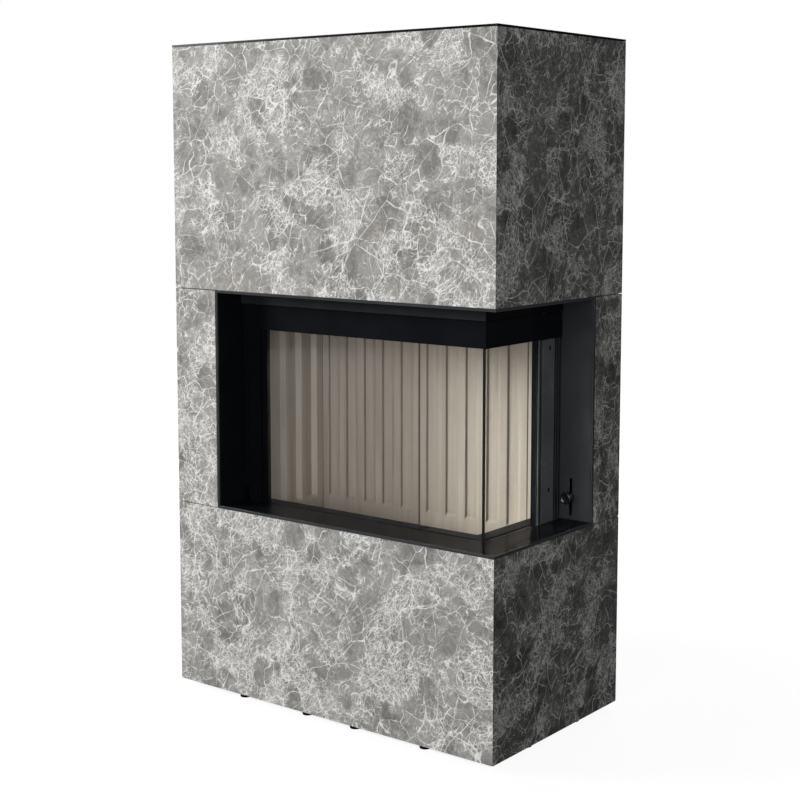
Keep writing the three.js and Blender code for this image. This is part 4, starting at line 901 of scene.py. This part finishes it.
class HEARTH_OT_lift(Builder):
    """Finish the pulleys, brackets and counterweights, and hang the roller chains"""
    bl_idname = "hearth.lift"
    bl_label = "Lift gear"

    def build(self, scene):
        for node in ("pulley_left", "pulley_rear", "pulley_bracket_left", "pulley_bracket_rear",
                     "counterweight_left", "counterweight_rear"):
            dress(edged_copy(node, 0.001), SLOT_OF[node])
        for node, body in (("chain_door_run_left", "door"), ("chain_door_run_rear", "door"),
                           ("chain_weight_run_left", "counterweight_left"),
                           ("chain_weight_run_rear", "counterweight_rear")):
            lo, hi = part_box(node)
            x, y = (lo[0] + hi[0]) / 2, (lo[1] + hi[1]) / 2
            turn = 0.0 if node.endswith("left") else math.pi / 2
            chain = roller_chain(node + "_links", x, y, lo[2], hi[2], turn)
            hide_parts(node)


# ---- Stage ----------------------------------------------------------------------------------------------
def straight_view(tree):
    """One for what the camera sees itself or through glass, nought for light on its way to the object."""
    path = put(tree, "ShaderNodeLightPath").outputs
    direct = maths(tree, "MAXIMUM", path["Is Camera Ray"], path["Is Transmission Ray"])
    turns = maths(tree, "ADD", path["Diffuse Depth"], path["Glossy Depth"])
    return maths(tree, "MULTIPLY", direct, maths(tree, "LESS_THAN", turns, 0.5))


class HEARTH_OT_stage(Builder):
    """Set the camera, the lamps, the white surroundings and the floor"""
    bl_idname = "hearth.stage"
    bl_label = "Camera, lamps and floor"

    def build(self, scene):
        scene.view_settings.view_transform = "Standard"
        self.camera(scene)
        self.lamp("Key light", (-7.3, -5.3, 3.3), (0.0, -0.2, 0.95), 3.2, scene.hearth_stage.key_power)
        self.lamp("Front light", (1.5, -4.4, 1.7), (0.0, -0.2, 0.95), 2.2, scene.hearth_stage.front_power)
        self.lamp("Side light", (4.6, -0.9, 1.9), (0.5, 0.0, 0.95), 2.4, scene.hearth_stage.side_power)
        self.lamp("Back light", (-1.3, 3.6, 2.5), (0.0, 0.2, 0.95), 2.2, scene.hearth_stage.back_power)
        self.surroundings(scene)
        self.floor()

    def camera(self, scene):
        data = bpy.data.cameras.new("Camera")
        data.lens, data.sensor_width, data.shift_y = scene.hearth_stage.focal, 36.0, -0.08
        camera = bpy.data.objects.new("Camera", data)
        bpy.context.collection.objects.link(camera)
        camera.location = (2.7147, -3.4567, 1.5475)
        camera.rotation_euler = (math.pi / 2 - 0.11, 0.0, 0.6617)
        scene.camera = camera

    def lamp(self, name, place, aim, size, power):
        data = bpy.data.lights.new(name, "AREA")
        data.shape, data.size, data.energy = "SQUARE", size, power
        lamp = bpy.data.objects.new(name, data)
        bpy.context.collection.objects.link(lamp)
        lamp.location = place
        lamp.rotation_euler = (Vector(aim) - Vector(place)).to_track_quat("-Z", "Y").to_euler()

    def surroundings(self, scene):
        """A dim even sky for the object, which the camera sees as white, also through glass."""
        world = bpy.data.worlds.new("Studio")
        world.use_nodes = True
        scene.world = world
        tree = world.node_tree
        tree.nodes.clear()
        seen = straight_view(tree)
        dim = put(tree, "ShaderNodeBackground", {"Color": (1, 1, 1, 1), "Strength": scene.hearth_stage.ambient})
        white = put(tree, "ShaderNodeBackground", {"Color": (1, 1, 1, 1), "Strength": 1.0})
        mix = put(tree, "ShaderNodeMixShader", {0: seen, 1: dim.outputs[0], 2: white.outputs[0]})
        tree.links.new(mix.outputs[0], put(tree, "ShaderNodeOutputWorld").inputs["Surface"])

    def floor(self):
        """A wide disc under the feet: white to the camera, grey in the object's shadow, dark under its middle."""
        angle = np.linspace(0, 2 * np.pi, 64, endpoint=False)
        rim = np.c_[9 * np.cos(angle), 9 * np.sin(angle), np.full(64, -0.0005)]
        mesh = bpy.data.meshes.new("Floor")
        mesh.from_pydata(rim.tolist(), [], [list(range(64))])
        floor = bpy.data.objects.new("Floor", mesh)
        bpy.context.collection.objects.link(floor)
        material, tree, surface, place = new_material("Studio floor")
        surface.inputs["Roughness"].default_value = 0.9
        surface.inputs["Specular IOR Level"].default_value = 0.0
        surface.inputs["Base Color"].default_value = (0.12, 0.12, 0.12, 1)
        seen = straight_view(tree)
        surface.inputs["Emission Color"].default_value = (1, 1, 1, 1)
        far = put(tree, "ShaderNodeVectorMath", {0: place}, operation="LENGTH").outputs["Value"]
        white = maths(tree, "MULTIPLY", seen, ramp(tree, far, 0.9, 2.2, 0.93, 1.0))
        across = put(tree, "ShaderNodeSeparateXYZ", {0: place}).outputs
        inside = [maths(tree, "SUBTRACT", CAD_BOX[1][axis], maths(tree, "ABSOLUTE", across[axis])) for axis in (0, 1)]
        under = maths(tree, "MINIMUM", *inside)
        tree.links.new(maths(tree, "MULTIPLY", white, ramp(tree, under, 0.03, 0.075, 1.0, 0.0)),
                       surface.inputs["Emission Strength"])
        mesh.materials.append(material)


OPERATORS = (HEARTH_OT_materials, HEARTH_OT_stone, HEARTH_OT_recess, HEARTH_OT_door, HEARTH_OT_lining,
             HEARTH_OT_knob, HEARTH_OT_casing, HEARTH_OT_lift, HEARTH_OT_stage)
SETTINGS = {"hearth_stone": StoneSettings, "hearth_steel": SteelSettings, "hearth_lining": LiningSettings,
            "hearth_stage": StageSettings}


class HEARTH_PT_panel(bpy.types.Panel):
    """Lists the steps that build the fireplace, with their settings"""
    bl_idname = "HEARTH_PT_panel"
    bl_label = "Corner Fireplace"
    bl_space_type = "VIEW_3D"
    bl_region_type = "UI"
    bl_category = "Fireplace"

    def draw(self, context):
        for operator in OPERATORS:
            self.layout.operator(operator.bl_idname)
        for name, group in SETTINGS.items():
            box = self.layout.box()
            for title in group.__annotations__:
                box.prop(getattr(context.scene, name), title)


def register():
    for name, group in SETTINGS.items():
        bpy.utils.register_class(group)
        setattr(bpy.types.Scene, name, bpy.props.PointerProperty(type=group))
    for operator in OPERATORS:
        bpy.utils.register_class(operator)
    bpy.utils.register_class(HEARTH_PT_panel)


def unregister():
    bpy.utils.unregister_class(HEARTH_PT_panel)
    for operator in reversed(OPERATORS):
        bpy.utils.unregister_class(operator)
    for name, group in SETTINGS.items():
        delattr(bpy.types.Scene, name)
        bpy.utils.unregister_class(group)


def main():
    register()
    for operator in OPERATORS:
        getattr(bpy.ops.hearth, operator.bl_idname.split(".")[1])()


if __name__ == "__main__":
    main()
